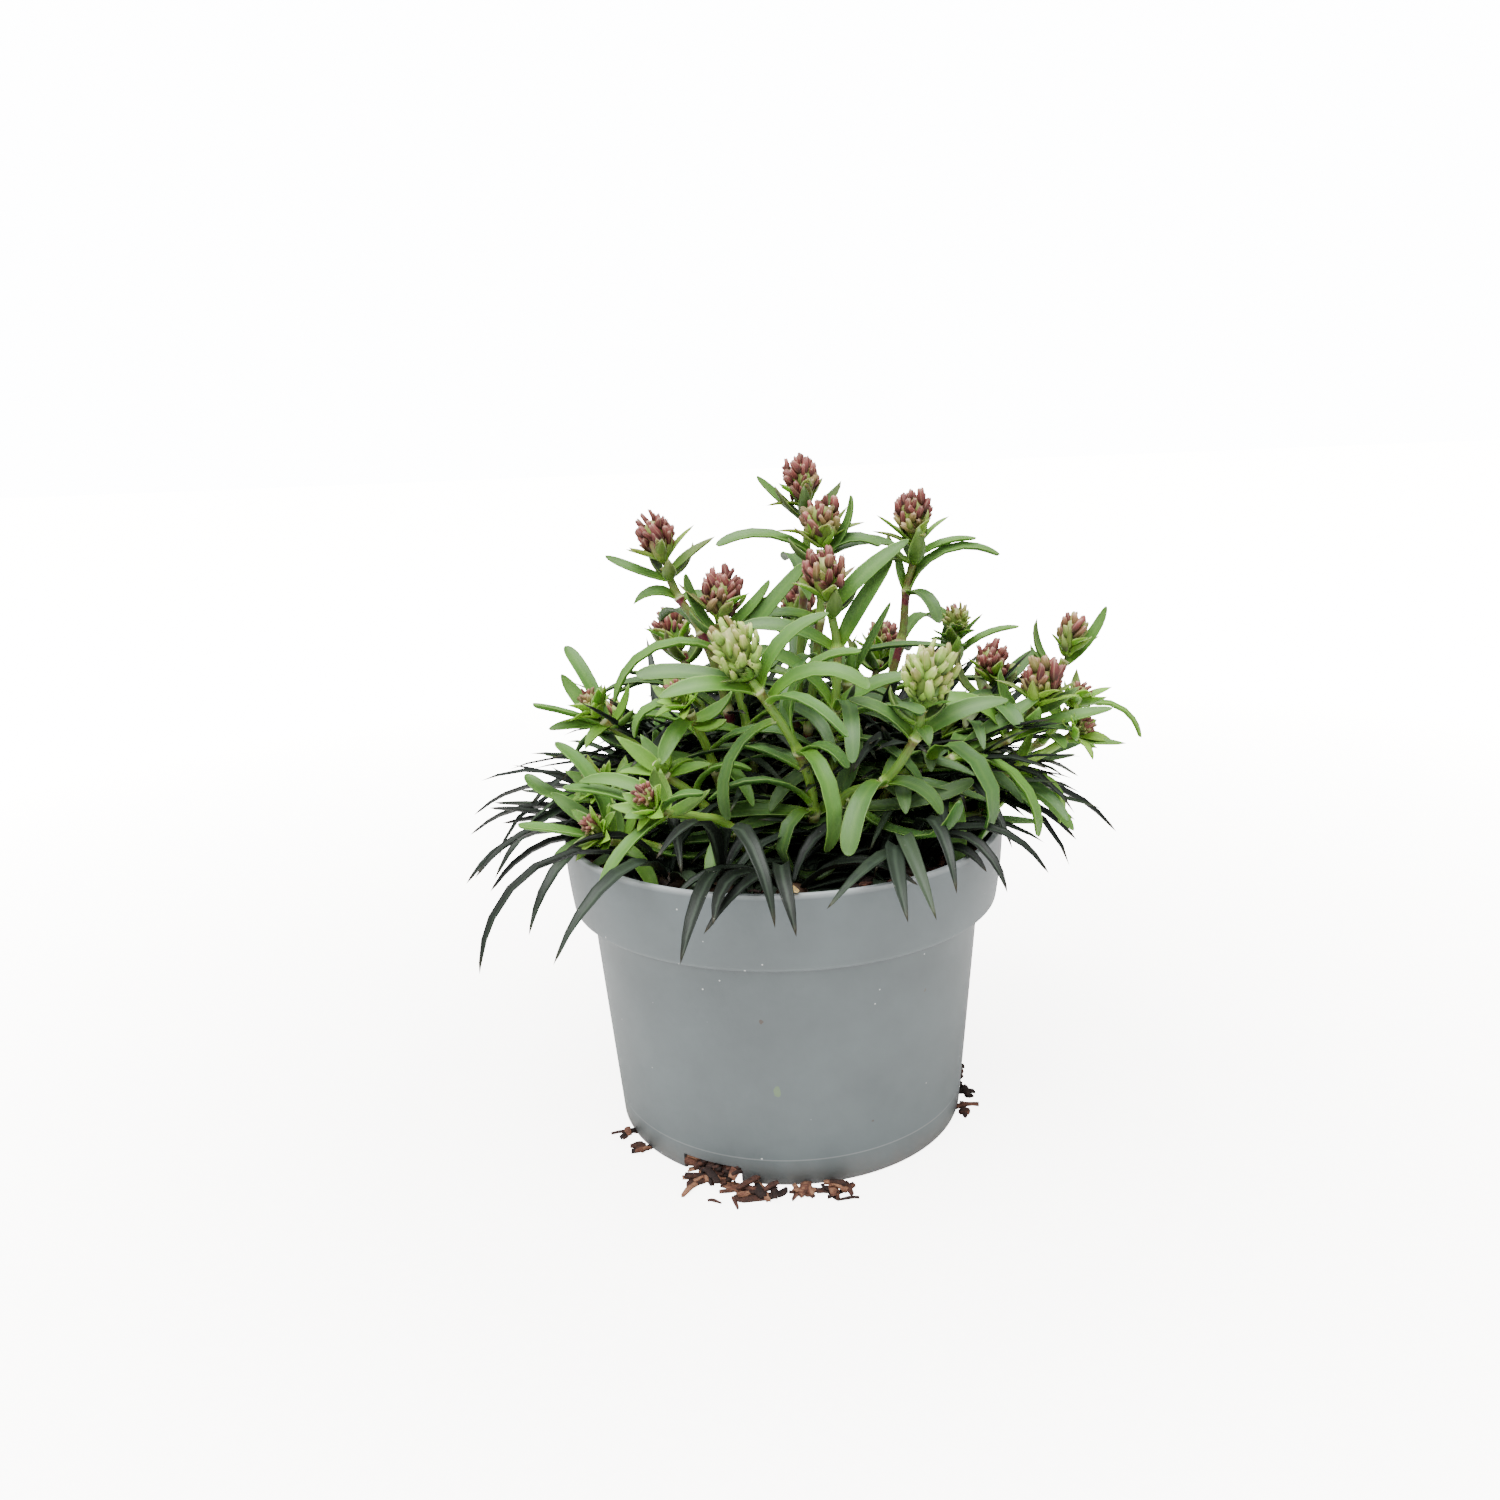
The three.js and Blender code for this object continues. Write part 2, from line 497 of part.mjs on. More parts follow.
// Grows a leaf for its owner, bent as little as it takes to clear the other pieces and its own piece's leaves
// past their roots. Where nothing clears them, there is no leaf.
const lowestTip = pot.collarBottom - 9.4;
function growLeaf(owner, root, row, shape) {
  const foreign = grown.filter((other) => other.owner !== owner);
  const own = grown.filter((other) => other.owner === owner);
  for (const bend of bends) {
    const way = bent(row, bend);
    if (leafLine(root, way)(1).point.z < lowestTip) continue;
    if (meets(bladeSolid(root, way, shape, clearance), foreign)) continue;
    if (meets(bladeSolid(root, way, shape, 0, 1), own)) continue;
    const solid = bladeSolid(root, way, shape);
    keep(owner, solid);
    return [solid];
  }
  return [];
}

// The pot is one moulding: floor, tapering wall, ledge, deep collar and thickened lip, with a slot cut at
// three turns where the wall meets the floor.
function potSolid() {
  const { rimRadius, height, collarBottom, collarBottomRadius, wallTopRadius, footRadius, wall } = pot;
  let solid = toSolid(
    turned(
      [
        [0, 0],
        [footRadius - pot.footChamfer, 0],
        [footRadius, pot.footChamfer],
        [wallTopRadius, collarBottom - 1],
        [collarBottomRadius - 0.6, collarBottom - 0.4],
        [collarBottomRadius, collarBottom + 0.4],
        [rimRadius, height - 0.5],
        [rimRadius - 0.5, height],
        [rimRadius - pot.lip + 0.4, height],
        [rimRadius - pot.lip, height - 1.2],
        [collarBottomRadius - wall, collarBottom + 1.6],
        [wallTopRadius - wall, collarBottom - 0.6],
        [footRadius - wall, pot.floor],
        [0, pot.floor],
      ],
      pot.facets,
    ),
  );
  const depth = footRadius + 6 - slot.innerRadius;
  for (const turn of slot.turns) {
    const cutter = new THREE.BoxGeometry(depth, slot.width, slot.height + 1);
    cutter.translate(slot.innerRadius + depth / 2, 0, (slot.height - 1) / 2);
    cutter.rotateZ(rad(turn));
    solid = solid.subtract(toSolid(cutter));
  }
  return solid;
}

// The compost fills the pot to below the lip. Bark gives its top a low relief, flakes of it push out through
// the drain slots, and every stem and crown stands in a plain hole.
function soilSolid(holes) {
  const draw = seeded(7);
  const wallInside = (z) =>
    lerp(pot.footRadius, pot.wallTopRadius, z / pot.collarBottom) - pot.wall - soil.gap;
  const collarInside = (z) => {
    const share = (z - pot.collarBottom) / (pot.height - pot.collarBottom);
    return lerp(pot.collarBottomRadius, pot.rimRadius, share) - pot.lip - soil.gap;
  };
  const body = turned(
    [
      [0, pot.floor + soil.gap],
      [wallInside(0) - 0.6, pot.floor + soil.gap],
      [wallInside(pot.collarBottom) - 0.5, pot.collarBottom - 1],
      [collarInside(pot.collarBottom + 2) - 0.3, pot.collarBottom + 3],
      [collarInside(soil.top), soil.top - 1.6],
      [44, soil.top - 0.4],
      [22, soil.top + 0.2],
      [0, soil.top + soil.middleRise],
    ],
    soil.facets,
  );
  const position = body.getAttribute("position");
  for (let i = 0; i < position.count; i++) {
    const [x, y, z] = [position.getX(i), position.getY(i), position.getZ(i)];
    if (z < soil.top - 1 || Math.hypot(x, y) < 1) continue;
    position.setZ(i, z + soil.relief * Math.sin(x * 0.37 + 1) * Math.cos(y * 0.41));
  }
  const pieces = [toSolid(body)];
  const addFlake = (turn, radius, offset, size, tilt) => {
    const flake = new THREE.BoxGeometry(...size);
    flake.rotateX(rad(tilt));
    flake.translate(radius, offset, spilled.lift + size[2] / 2);
    flake.rotateZ(rad(turn));
    pieces.push(toSolid(flake));
  };
  for (const turn of slot.turns) {
    for (const offset of turn === slot.turns[0] ? [-5.6, -1, 4.2] : [-3.6, 2.6]) {
      const inner = slot.innerRadius + 0.8;
      const reach = pot.footRadius + 4 + draw() * 3 - inner;
      addFlake(turn, inner + reach / 2, offset, [reach, 3.6 + draw(), 2.4 + draw()], draw() * 20 - 10);
    }
  }
  for (const turn of spilled.turns) {
    const size = [3 + draw() * 1.4, spilled.length, 1.6 + draw() * 1.2];
    addFlake(turn, pot.footRadius + spilled.out, 0, size, draw() * 8 - 4);
  }
  return fuse(pieces).subtract(wasm.Manifold.union(holes));
}

// A head: pointed buds raised out of a core, in staggered rings round one at the top. A corner of the sphere
// is the tip of a bud or lies in the valley between buds, and the lowest corners draw in to the neck.
function headSolid(neck, [x, y, z, radius, halfHeight], seed) {
  const draw = seeded(seed);
  const { columns } = buds;
  const middle = new THREE.Vector3(x, y, z);
  const axis = middle.clone().sub(neck).normalize();
  const drop = middle.distanceTo(neck) - clearance - 0.1;
  const first = draw() * 360;
  const reaches = Array.from({ length: columns * (buds.rows + 1) }, () => 0.93 + draw() * 0.14);
  const body = new THREE.SphereGeometry(1, columns, buds.rows);
  const position = body.getAttribute("position");
  for (let i = 0; i < position.count; i++) {
    const row = Math.floor(i / (columns + 1));
    const column = row === 0 ? 0 : (i % (columns + 1)) % columns;
    const isTip = buds.tipRows.includes(row) && (row === 0 || column % 2 === (row / 2) % 2);
    const valley = row === buds.rows - 1 ? buds.lowest : buds.valley;
    const reach = isTip ? reaches[row * columns + column] : valley;
    const lean = isTip ? halfHeight * buds.lean * (row === 0 ? 0.5 : 1) : 0;
    const polar = (Math.PI * 0.94 * row) / buds.rows;
    const round = rad(first + (360 * column) / columns);
    const spread = Math.sin(polar) * radius * reach;
    const height = Math.cos(polar) * halfHeight * reach + lean;
    position.setXYZ(i, Math.cos(round) * spread, Math.sin(round) * spread, height);
    if (row === buds.rows) position.setXYZ(i, 0, 0, -drop);
  }
  body.applyQuaternion(new THREE.Quaternion().setFromUnitVectors(zUp, axis));
  body.translate(x, y, z);
  return toSolid(body);
}

// A crown: a low knob on a peg.
function crownSolid(x, y, radius) {
  const base = soil.relief;
  const profile = [
    [0, -crown.pegDepth],
    [crown.pegRadius, -crown.pegDepth],
    [crown.pegRadius, base + 0.9],
    [radius, base + 1.9],
    [0, base + radius + 0.6],
  ];
  const body = turned(profile, 6);
  body.translate(x, y, soil.top);
  return toSolid(body);
}

// A crown's leaves: those over the rim, then drawn ones. Those that turn inwards rise steeply and are longer.
function crownRows(name, x, y, count, first) {
  const draw = seeded(101 + Math.round(x * 7 + y));
  const rows = [...(overRim[name] ?? [])];
  for (let i = 0; i < count; i++) {
    const turn = (first + i * 137.5) % 360;
    const outward = Math.cos(rad(turn) - Math.atan2(y, x));
    const steep = Math.min(0.55 - outward * 0.4 + draw() * 0.2, 1);
    const fall = -62 - 22 * draw() + 36 * steep;
    const share = y < frontCrowns.backTo ? frontCrowns.share : 1;
    const length = share * (lerp(darkLeaf.shortest, darkLeaf.longest, draw()) + darkLeaf.steepExtra * steep);
    const width = darkLeaf.width * (0.85 + draw() * 0.3);
    rows.push([turn, 28 + 54 * steep, fall, length, width, 0, draw() * 30 - 15]);
  }
  return rows;
}

// Materials
const grey = new THREE.MeshStandardMaterial({ color: 0x8a9497, roughness: 0.5, metalness: 0 });
const compost = new THREE.MeshStandardMaterial({ color: 0x3a2418, roughness: 0.95, metalness: 0 });
const green = new THREE.MeshStandardMaterial({ color: 0x5b8a45, roughness: 0.55, metalness: 0 });
const blackish = new THREE.MeshStandardMaterial({ color: 0x2b3833, roughness: 0.45, metalness: 0 });
const rosy = new THREE.MeshStandardMaterial({ color: 0xa9767a, roughness: 0.6, metalness: 0 });

const plant = new THREE.Group();
plant.name = "potted_alpine_catchfly";
function add(name, solid, material) {
  const mesh = new THREE.Mesh(toGeometry(solid), material);
  mesh.name = name;
  plant.add(mesh);
}

// Pot
const moulding = potSolid();
add("pot", moulding, grey);
keep("pot", moulding);

// Stems and crowns, with a hole in the soil for each
const holes = [];
const pieces = new Map();
for (const [name, points] of stems) {
  const { at } = stemLine(points);
  const foot = at(0);
  const slope = at(0.15).sub(foot).normalize();
  const above = foot.clone().addScaledVector(slope, 16);
  holes.push(hole(foot.clone().addScaledVector(slope, -0.5), above, stem.holeRadius));
  pieces.set("stem_" + name, [stemSolid(points, stem.radius)]);
  keep("stem_" + name, stemSolid(points, stem.radius + clearance));
}
for (const [name, x, y, radius] of crowns) {
  const knob = crownSolid(x, y, radius);
  const bottom = new THREE.Vector3(x, y, soil.top - crown.pegDepth - 0.5);
  holes.push(hole(bottom, new THREE.Vector3(x, y, soil.top + 6), crown.holeRadius));
  pieces.set("crown_" + name, [knob]);
  keep("crown_" + name, knob);
}

// Soil, kept for the leaves as a plain disc as thick as its relief
add("soil", soilSolid(holes), compost);
const disc = new THREE.CylinderGeometry(61.2, 61.2, soil.relief * 2, 24);
disc.rotateX(Math.PI / 2);
disc.translate(0, 0, soil.top + soil.middleRise);
keep("soil", toSolid(disc));

// Heads
stems.forEach(([name, points, head], i) => {
  if (head === null) return;
  const neck = stemLine(points).at(points.length - 1);
  if (unripe.includes(name)) {
    const axis = new THREE.Vector3(...head.slice(0, 3)).sub(neck).normalize();
    const sunk = headSolid(neck.addScaledVector(axis, -1.4), head, 11 + i);
    keep("stem_" + name, sunk);
    pieces.get("stem_" + name).push(sunk);
    return;
  }
  const solid = headSolid(neck, head, 11 + i);
  keep("head_" + name, solid);
  add("head_" + name, solid, rosy);
});

// Green leaves
for (const [name, points, , leaves] of stems) {
  const parts = pieces.get("stem_" + name);
  for (const [index, ...row] of leaves) {
    parts.push(...growLeaf("stem_" + name, leafRoot(points, index, row[0]), row, greenShape(row)));
  }
  add("stem_" + name, fuse(parts), green);
}

// Dark leaves
for (const [name, x, y, radius, count, first] of crowns) {
  const parts = pieces.get("crown_" + name);
  for (const row of crownRows(name, x, y, count, first)) {
    const out = radius * 0.8 * Math.cos(rad(row[1]));
    const root = new THREE.Vector3(
      x + Math.cos(rad(row[0])) * out,
      y + Math.sin(rad(row[0])) * out,
      soil.top + soil.relief + 2 + radius * 0.45 * (row[1] / 90),
    );
    parts.push(...growLeaf("crown_" + name, root, row, darkBlade));
  }
  add("crown_" + name, fuse(parts), blackish);
}

export default plant;
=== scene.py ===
"""A potted alpine catchfly, made in the order that it is put together: pot, compost, dark tufts, leafy
stems, bud heads, and the small litter on it. The scene round it comes last.

Sizes are in millimetres and each finished mesh is brought to metres. The origin is the middle of the pot's
underside, +Z is up and the front faces -Y. A direction round the plant is a turn in degrees: 0 points to +X,
90 to +Y, 180 to -X and 270 to -Y.
"""

import random
from math import atan2, cos, degrees, hypot, pi, radians, sin, sqrt

import bmesh
import bpy
from mathutils import Matrix, Vector, kdtree, noise


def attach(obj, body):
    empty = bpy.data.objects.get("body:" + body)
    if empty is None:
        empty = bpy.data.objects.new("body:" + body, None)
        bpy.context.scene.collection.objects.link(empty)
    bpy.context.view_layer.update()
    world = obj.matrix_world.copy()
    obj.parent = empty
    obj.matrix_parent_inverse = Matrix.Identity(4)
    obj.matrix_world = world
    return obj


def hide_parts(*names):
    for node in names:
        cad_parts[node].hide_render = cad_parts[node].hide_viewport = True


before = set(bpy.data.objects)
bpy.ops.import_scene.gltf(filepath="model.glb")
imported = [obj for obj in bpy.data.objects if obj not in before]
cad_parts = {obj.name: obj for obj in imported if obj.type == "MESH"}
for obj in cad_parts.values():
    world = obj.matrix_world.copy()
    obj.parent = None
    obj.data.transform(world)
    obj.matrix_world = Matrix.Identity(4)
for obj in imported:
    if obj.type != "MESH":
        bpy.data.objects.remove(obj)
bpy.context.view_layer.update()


# The pot
# A round nursery pot, one injection moulding in grey polypropylene: a flat floor, a tapering wall, a deep
# collar that hangs from a rolled lip, and three drain slots, cut off by the mould where wall meets floor.

MM = 0.001
RIM_RADIUS = 65
POT_HEIGHT = 91
FOOT_RADIUS = 52.8
FLOOR = 1.5
POT_STEPS = 144
SLOT_TURNS = (244, 4, 124)
SLOT_HALF_ANGLE = 10
SLOT_HEIGHT = 5.2
SLOT_INNER = 45.5
WITNESS_LINE = 8.5
COLLAR_EDGE = 69.9

pot_profile = (
    (0, 0), (SLOT_INNER, 0), (51.6, 0), (52.45, 0.35), (FOOT_RADIUS, 1.2), (53.12, SLOT_HEIGHT),
    (54.2, 18.5), (55.3, 32), (56.4, 45.5), (57.4, 58), (58.1, 68.2), (58.3, 68.9), (58.9, 69.3),
    (60.4, 69.45), (62.6, 69.4), (63.1, 69.45), (63.4, 69.7), (63.5, 70.1), (64.1, 74.6), (64.7, 80.5),
    (64.98, 86.5), (65, 89.6), (65, 90.5), (64.8, 90.9), (64.4, POT_HEIGHT), (63.6, POT_HEIGHT),
    (63.2, 90.85), (63, 90.4), (62.9, 89.6), (62.6, 80.5), (62.1, 73), (61.7, 71.9), (60.6, 71.2),
    (57.5, 70.2), (56.9, 69.6), (56.7, 68.4), (54.9, 45), (53.1, 22.5), (51.75, SLOT_HEIGHT),
    (51.45, 2.3), (50.7, FLOOR), (SLOT_INNER, FLOOR), (0, FLOOR),
)


def clamp(value):
    return min(max(value, 0), 1)


def linear(hex_colour):
    """An sRGB hex colour as linear red, green, blue and alpha."""
    parts = [int(hex_colour[i:i + 2], 16) / 255 for i in (1, 3, 5)]
    return (*(c / 12.92 if c <= 0.04045 else ((c + 0.055) / 1.055) ** 2.4 for c in parts), 1)


def finish_of(name, colour, **constants):
    """A material with its constant values on the shader's own sockets."""
    material = bpy.data.materials.new(name)
    material.use_nodes = True
    shader = material.node_tree.nodes["Principled BSDF"]
    shader.inputs["Base Color"].default_value = linear(colour)
    for socket, value in constants.items():
        shader.inputs[socket.replace("_", " ")].default_value = value
    return material, material.node_tree, shader


def node(tree, kind, settings=None, links=None, out=0):
    """Adds a node, sets its properties, inputs and colour stops, links its inputs, returns one output."""
    made = tree.nodes.new("ShaderNode" + kind)
    for key, value in (settings or {}).items():
        if key == "stops":
            stops = made.color_ramp.elements
            while len(stops) < len(value):
                stops.new(0.5)
            for stop, (place, colour) in zip(stops, value):
                stop.position = place
                stop.color = linear(colour)
        elif isinstance(key, str) and hasattr(made, key):
            setattr(made, key, value)
        else:
            made.inputs[key].default_value = value
    for key, source in (links or {}).items():
        tree.links.new(source, made.inputs[key])
    return made.outputs[out]


def dress(tree, shader, colour, relief, strength, depth=0.2):
    """Links a finished colour to the shader, and a relief of so many millimetres."""
    tree.links.new(colour, shader.inputs["Base Color"])
    bump = node(tree, "Bump", {"Strength": strength, "Distance": depth * MM}, {"Height": relief})
    tree.links.new(bump, shader.inputs["Normal"])


def set_down(name, bm, materials, slot, *nodes):
    """Makes the object of a mesh in millimetres, carried by the pot and standing for CAD nodes."""
    bmesh.ops.scale(bm, vec=(MM, MM, MM), verts=bm.verts)
    mesh = bpy.data.meshes.new(name)
    bm.to_mesh(mesh)
    bm.free()
    mesh.shade_smooth()
    for material in materials:
        mesh.materials.append(material)
    piece = bpy.data.objects.new(name, mesh)
    bpy.context.scene.collection.objects.link(piece)
    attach(piece, "root")
    if nodes:
        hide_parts(*nodes)
    return piece


def join_in(piece, part):
    """Adds a finished part's mesh to the mesh of its piece."""
    carrier = bpy.data.meshes.new("part")
    part.to_mesh(carrier)
    part.free()
    piece.from_mesh(carrier)
    bpy.data.meshes.remove(carrier)


def beside_slot(point, reach):
    """Whether a point of the pot lies within a slot's angle, widened by reach degrees."""
    turn = degrees(atan2(point.y, point.x))
    return any(abs((turn - centre + 180) % 360 - 180) < reach for centre in SLOT_TURNS)


def mould_pot():
    bm = bmesh.new()
    start = Matrix.Rotation(radians(SLOT_TURNS[1] - SLOT_HALF_ANGLE), 3, "Z")
    corners = [bm.verts.new(start @ Vector((r, 0, z))) for r, z in pot_profile]
    rims = [bm.edges.new(pair) for pair in zip(corners, corners[1:])]
    bmesh.ops.spin(
        bm, geom=corners + rims, axis=(0, 0, 1), angle=2 * pi, steps=POT_STEPS, use_merge=True,
    )
    bmesh.ops.remove_doubles(bm, verts=bm.verts, dist=0.001)
    bmesh.ops.recalc_face_normals(bm, faces=bm.faces)
    cut = []
    for face in bm.faces:
        middle = face.calc_center_median()
        if middle.z < SLOT_HEIGHT and hypot(middle.x, middle.y) > SLOT_INNER:
            if beside_slot(middle, SLOT_HALF_ANGLE):
                cut.append(face)
    bmesh.ops.delete(bm, geom=cut, context="FACES")
    for centre in SLOT_TURNS:
        edges = [e for e in bm.edges if e.is_boundary]
        side = Vector((cos(radians(centre)), sin(radians(centre)), 0))
        near = [e for e in edges if e.verts[0].co.normalized().dot(side) > 0.9]
        bmesh.ops.bridge_loops(bm, edges=near)
    return bm


# Injection-moulded polypropylene: an even mid grey with a soft matt gloss and a fine grain from the mould,
# with a painted highlight along the lip, a thin pale witness line above the foot and dried splashes of lime.
grey_plastic, tree, shader = finish_of("moulded_grey_polypropylene", "#8a9194", Roughness=0.46, IOR=1.49)
place = node(tree, "TexCoord", out="Object")
height = node(tree, "SeparateXYZ", links={0: place}, out="Z")
clouds = node(tree, "TexNoise", {"Scale": 1 / 0.022, "Detail": 3}, {"Vector": place})
body = node(tree, "ValToRGB", {"stops": ((0.3, "#545c5e"), (0.7, "#5c6567"))}, {0: clouds})
# A painted highlight, paler grey along the top of the lip.
lip_highlight = node(
    tree, "MapRange", {"From Min": 0.0896, "From Max": 0.0909, "To Max": 0.55}, {"Value": height},
)
line_gap = node(tree, "Math", {"operation": "SUBTRACT", 1: WITNESS_LINE * MM}, {0: height})
line_far = node(tree, "Math", {"operation": "ABSOLUTE"}, {0: line_gap})
line = node(
    tree, "MapRange", {"From Min": 0.0001, "From Max": 0.0003, "To Min": 0.25, "To Max": 0.0},
    {"Value": line_far},
)
splash_cells = node(tree, "TexVoronoi", {"Scale": 1 / 0.007}, {"Vector": place})
splash = node(
    tree, "MapRange", {"From Min": 0.03, "From Max": 0.045, "To Min": 0.75, "To Max": 0.0},
    {"Value": splash_cells},
)
dust_cloud = node(tree, "TexNoise", {"Scale": 1 / 0.004, "Detail": 5}, {"Vector": place})
dust_low = node(
    tree, "MapRange", {"From Min": 0.0, "From Max": 0.009, "To Min": 0.55, "To Max": 0.0},
    {"Value": height},
)
dust_mask = node(tree, "Math", {"operation": "MULTIPLY"}, {0: dust_cloud, 1: dust_low})
# Painted shade darkens the wall in the corner under the collar, and a painted highlight lies along its lower
# edge.
under_gap = node(
    tree, "MapRange", {"From Min": 0.0655, "From Max": 0.0693, "To Max": 0.55}, {"Value": height},
)
on_wall = node(tree, "Math", {"operation": "LESS_THAN", 1: 0.0694}, {0: height})
painted_shade_under_collar = node(tree, "Math", {"operation": "MULTIPLY"}, {0: under_gap, 1: on_wall})
edge_gap = node(tree, "Math", {"operation": "SUBTRACT", 1: COLLAR_EDGE * MM}, {0: height})
edge_far = node(tree, "Math", {"operation": "ABSOLUTE"}, {0: edge_gap})
# A painted highlight, a pale line along the collar's rounded lower edge.
collar_edge_highlight = node(
    tree, "MapRange", {"From Min": 0.0002, "From Max": 0.0005, "To Min": 0.05, "To Max": 0.0},
    {"Value": edge_far},
)
pot_colour = body
for colour, mask in (
    ("#a9adad", lip_highlight), ("#a4a9a8", line), ("#c9ccc8", splash), ("#4c5152", painted_shade_under_collar), ("#b4b9b9", collar_edge_highlight),
    ("#6d5a4c", dust_mask),
):
    pot_colour = node(tree, "Mix", {"data_type": "RGBA", 7: linear(colour)}, {0: mask, 6: pot_colour}, 2)
# Each mark: x, y and z of its middle, its half width and half height, and its colour.
POT_MARKS = (
    ((-3.8, -55.1, 30.7), 1.1, 1.9, "#66795a"), ((-7.4, -56.4, 52.2), 0.6, 0.7, "#4e4238"),
    ((37.6, -42.8, 53.5), 0.4, 0.5, "#565450"), ((22.3, -49.3, 17.7), 0.3, 0.4, "#4d4a45"),
)
# Noise, which is 0.5 on average, makes the marks' edges wander by half a millimetre.
WANDER = 1
ragged = node(tree, "TexNoise", {"Scale": 1 / 0.0012, "Detail": 2}, {"Vector": place}, "Color")
wander = node(tree, "VectorMath", {"operation": "SCALE", "Scale": WANDER * MM}, {0: ragged})
for (x, y, z), half_width, half_height, colour in POT_MARKS:
    middle = tuple((value + WANDER / 2) * MM for value in (x, y, z))
    moved = node(tree, "VectorMath", {"operation": "SUBTRACT", 1: middle}, {0: place})
    moved = node(tree, "VectorMath", {"operation": "ADD"}, {0: moved, 1: wander})
    sized = node(
        tree, "VectorMath",
        {"operation": "DIVIDE", 1: (half_width * MM, 3 * MM, half_height * MM)}, {0: moved},
    )
    away = node(tree, "VectorMath", {"operation": "LENGTH"}, {0: sized}, "Value")
    mark = node(
        tree, "MapRange", {"From Min": 0.8, "From Max": 1.0, "To Min": 0.8, "To Max": 0.0},
        {"Value": away},
    )
    pot_colour = node(tree, "Mix", {"data_type": "RGBA", 7: linear(colour)}, {0: mark, 6: pot_colour}, 2)
grain = node(tree, "TexNoise", {"Scale": 1 / 0.0006, "Detail": 2}, {"Vector": place})
dress(tree, shader, pot_colour, grain, 0.12, 0.1)

pot = set_down("nursery_pot", mould_pot(), [grey_plastic], "pot_plastic", "pot")
pot.data.set_sharp_from_angle(angle=radians(40))


# The compost
# Composted bark and peat, tipped in and pressed down by hand to a finger's breadth below the lip. It holds
# flat flakes of bark, some of which have washed out through the front slot and lie along the foot.

SOIL_TOP = 80
SOIL_RELIEF = 1.5
# Flakes on the compost and how far out they lie, and flakes in each slot.
TOP_FLAKES, TOP_REACH = 520, 58
SLOT_FLAKES = 60
# Spilled heaps on the ground: turn, distance from the middle, flakes, and how far they scatter.
HEAPS = (
    (246, 53.6, 18, 5.4), (256, 56.2, 8, 4), (263, 56.4, 6, 3), (274, 55.8, 9, 3.4), (282, 56.4, 12, 3.6),
    (216, 55.2, 5, 2.2), (208, 55.4, 3, 1.4), (343, 54.8, 5, 1.6), (352, 54.6, 4, 1.8),
)
HEAP_HEIGHT = 2.6
# Fibres and long flakes of bark on the ground: x and y of the middle, length, width and turn.
STRANDS = (
    (-50.2, -24, 8.6, 0.8, 88), (-16.3, -60.4, 5, 0.8, 20), (-22, -59.5, 4.2, 0.6, 64),
    (14.5, -59.6, 6, 0.7, 100), (-10.8, -58.2, 12.5, 3, 96), (-17, -53.6, 7, 3, 60),
    (-26, -49.8, 9, 3.2, 118), (-28.6, -53.6, 8, 1.4, 146),
)

soil_profile = (
    (0, FLOOR + 0.4), (30, FLOOR + 0.4), (50.4, FLOOR + 0.4), (52, 20), (53.6, 45), (55.4, 67.5),
    (56.6, 71), (60.9, 72.6), (61.5, 78), (61.6, 79.2), (58, 79.5), (54, 79.6), (50, 79.7), (46, 79.8),
    (42, 79.8), (38, 79.9), (34, 80), (30, 80), (26, 80.1), (22, 80.2), (18, 80.3), (14, 80.4),
    (10, 80.5), (5, 80.6), (0, 80.6),
)
SOIL_STEPS = 72
random.seed(7)


def add_flake(piece, middle, length, width, tilt, rests=False, turn=None):
    """A curled, ragged flake of bark at a given or random turn, tilted by up to tilt degrees. One that rests
    has its lowest corner at the height of middle."""
    bm = bmesh.new()
    tone = bm.verts.layers.float.new("tone")
    made = bmesh.ops.create_grid(bm, x_segments=2, y_segments=4, size=0.5)["verts"]
    curl = random.uniform(-0.2, 0.45)
    shade = random.random()
    for vert in made:
        across, along = vert.co.x, vert.co.y
        ragged_edge = random.uniform(0.7, 1.15)
        vert.co.x = across * width * ragged_edge * (1 - 1.1 * along * along)
        vert.co.y = along * length * random.uniform(0.9, 1.1)
        vert.co.z = curl * length * (0.25 - along * along) + random.uniform(-0.15, 0.15)
        vert[tone] = clamp(shade + random.uniform(-0.12, 0.12))
    bmesh.ops.solidify(bm, geom=bm.faces[:], thickness=random.uniform(0.5, 1.1))
    lie = Matrix.Rotation(random.uniform(0, 2 * pi) if turn is None else radians(turn), 3, "Z")
    for axis in "XY":
        lie = lie @ Matrix.Rotation(radians(random.uniform(-tilt, tilt)), 3, axis)
    bmesh.ops.rotate(bm, verts=bm.verts, cent=(0, 0, 0), matrix=lie)
    sunk = min(vert.co.z for vert in bm.verts) if rests else 0
    bmesh.ops.translate(bm, verts=bm.verts, vec=(middle[0], middle[1], middle[2] - sunk))
    join_in(piece, bm)


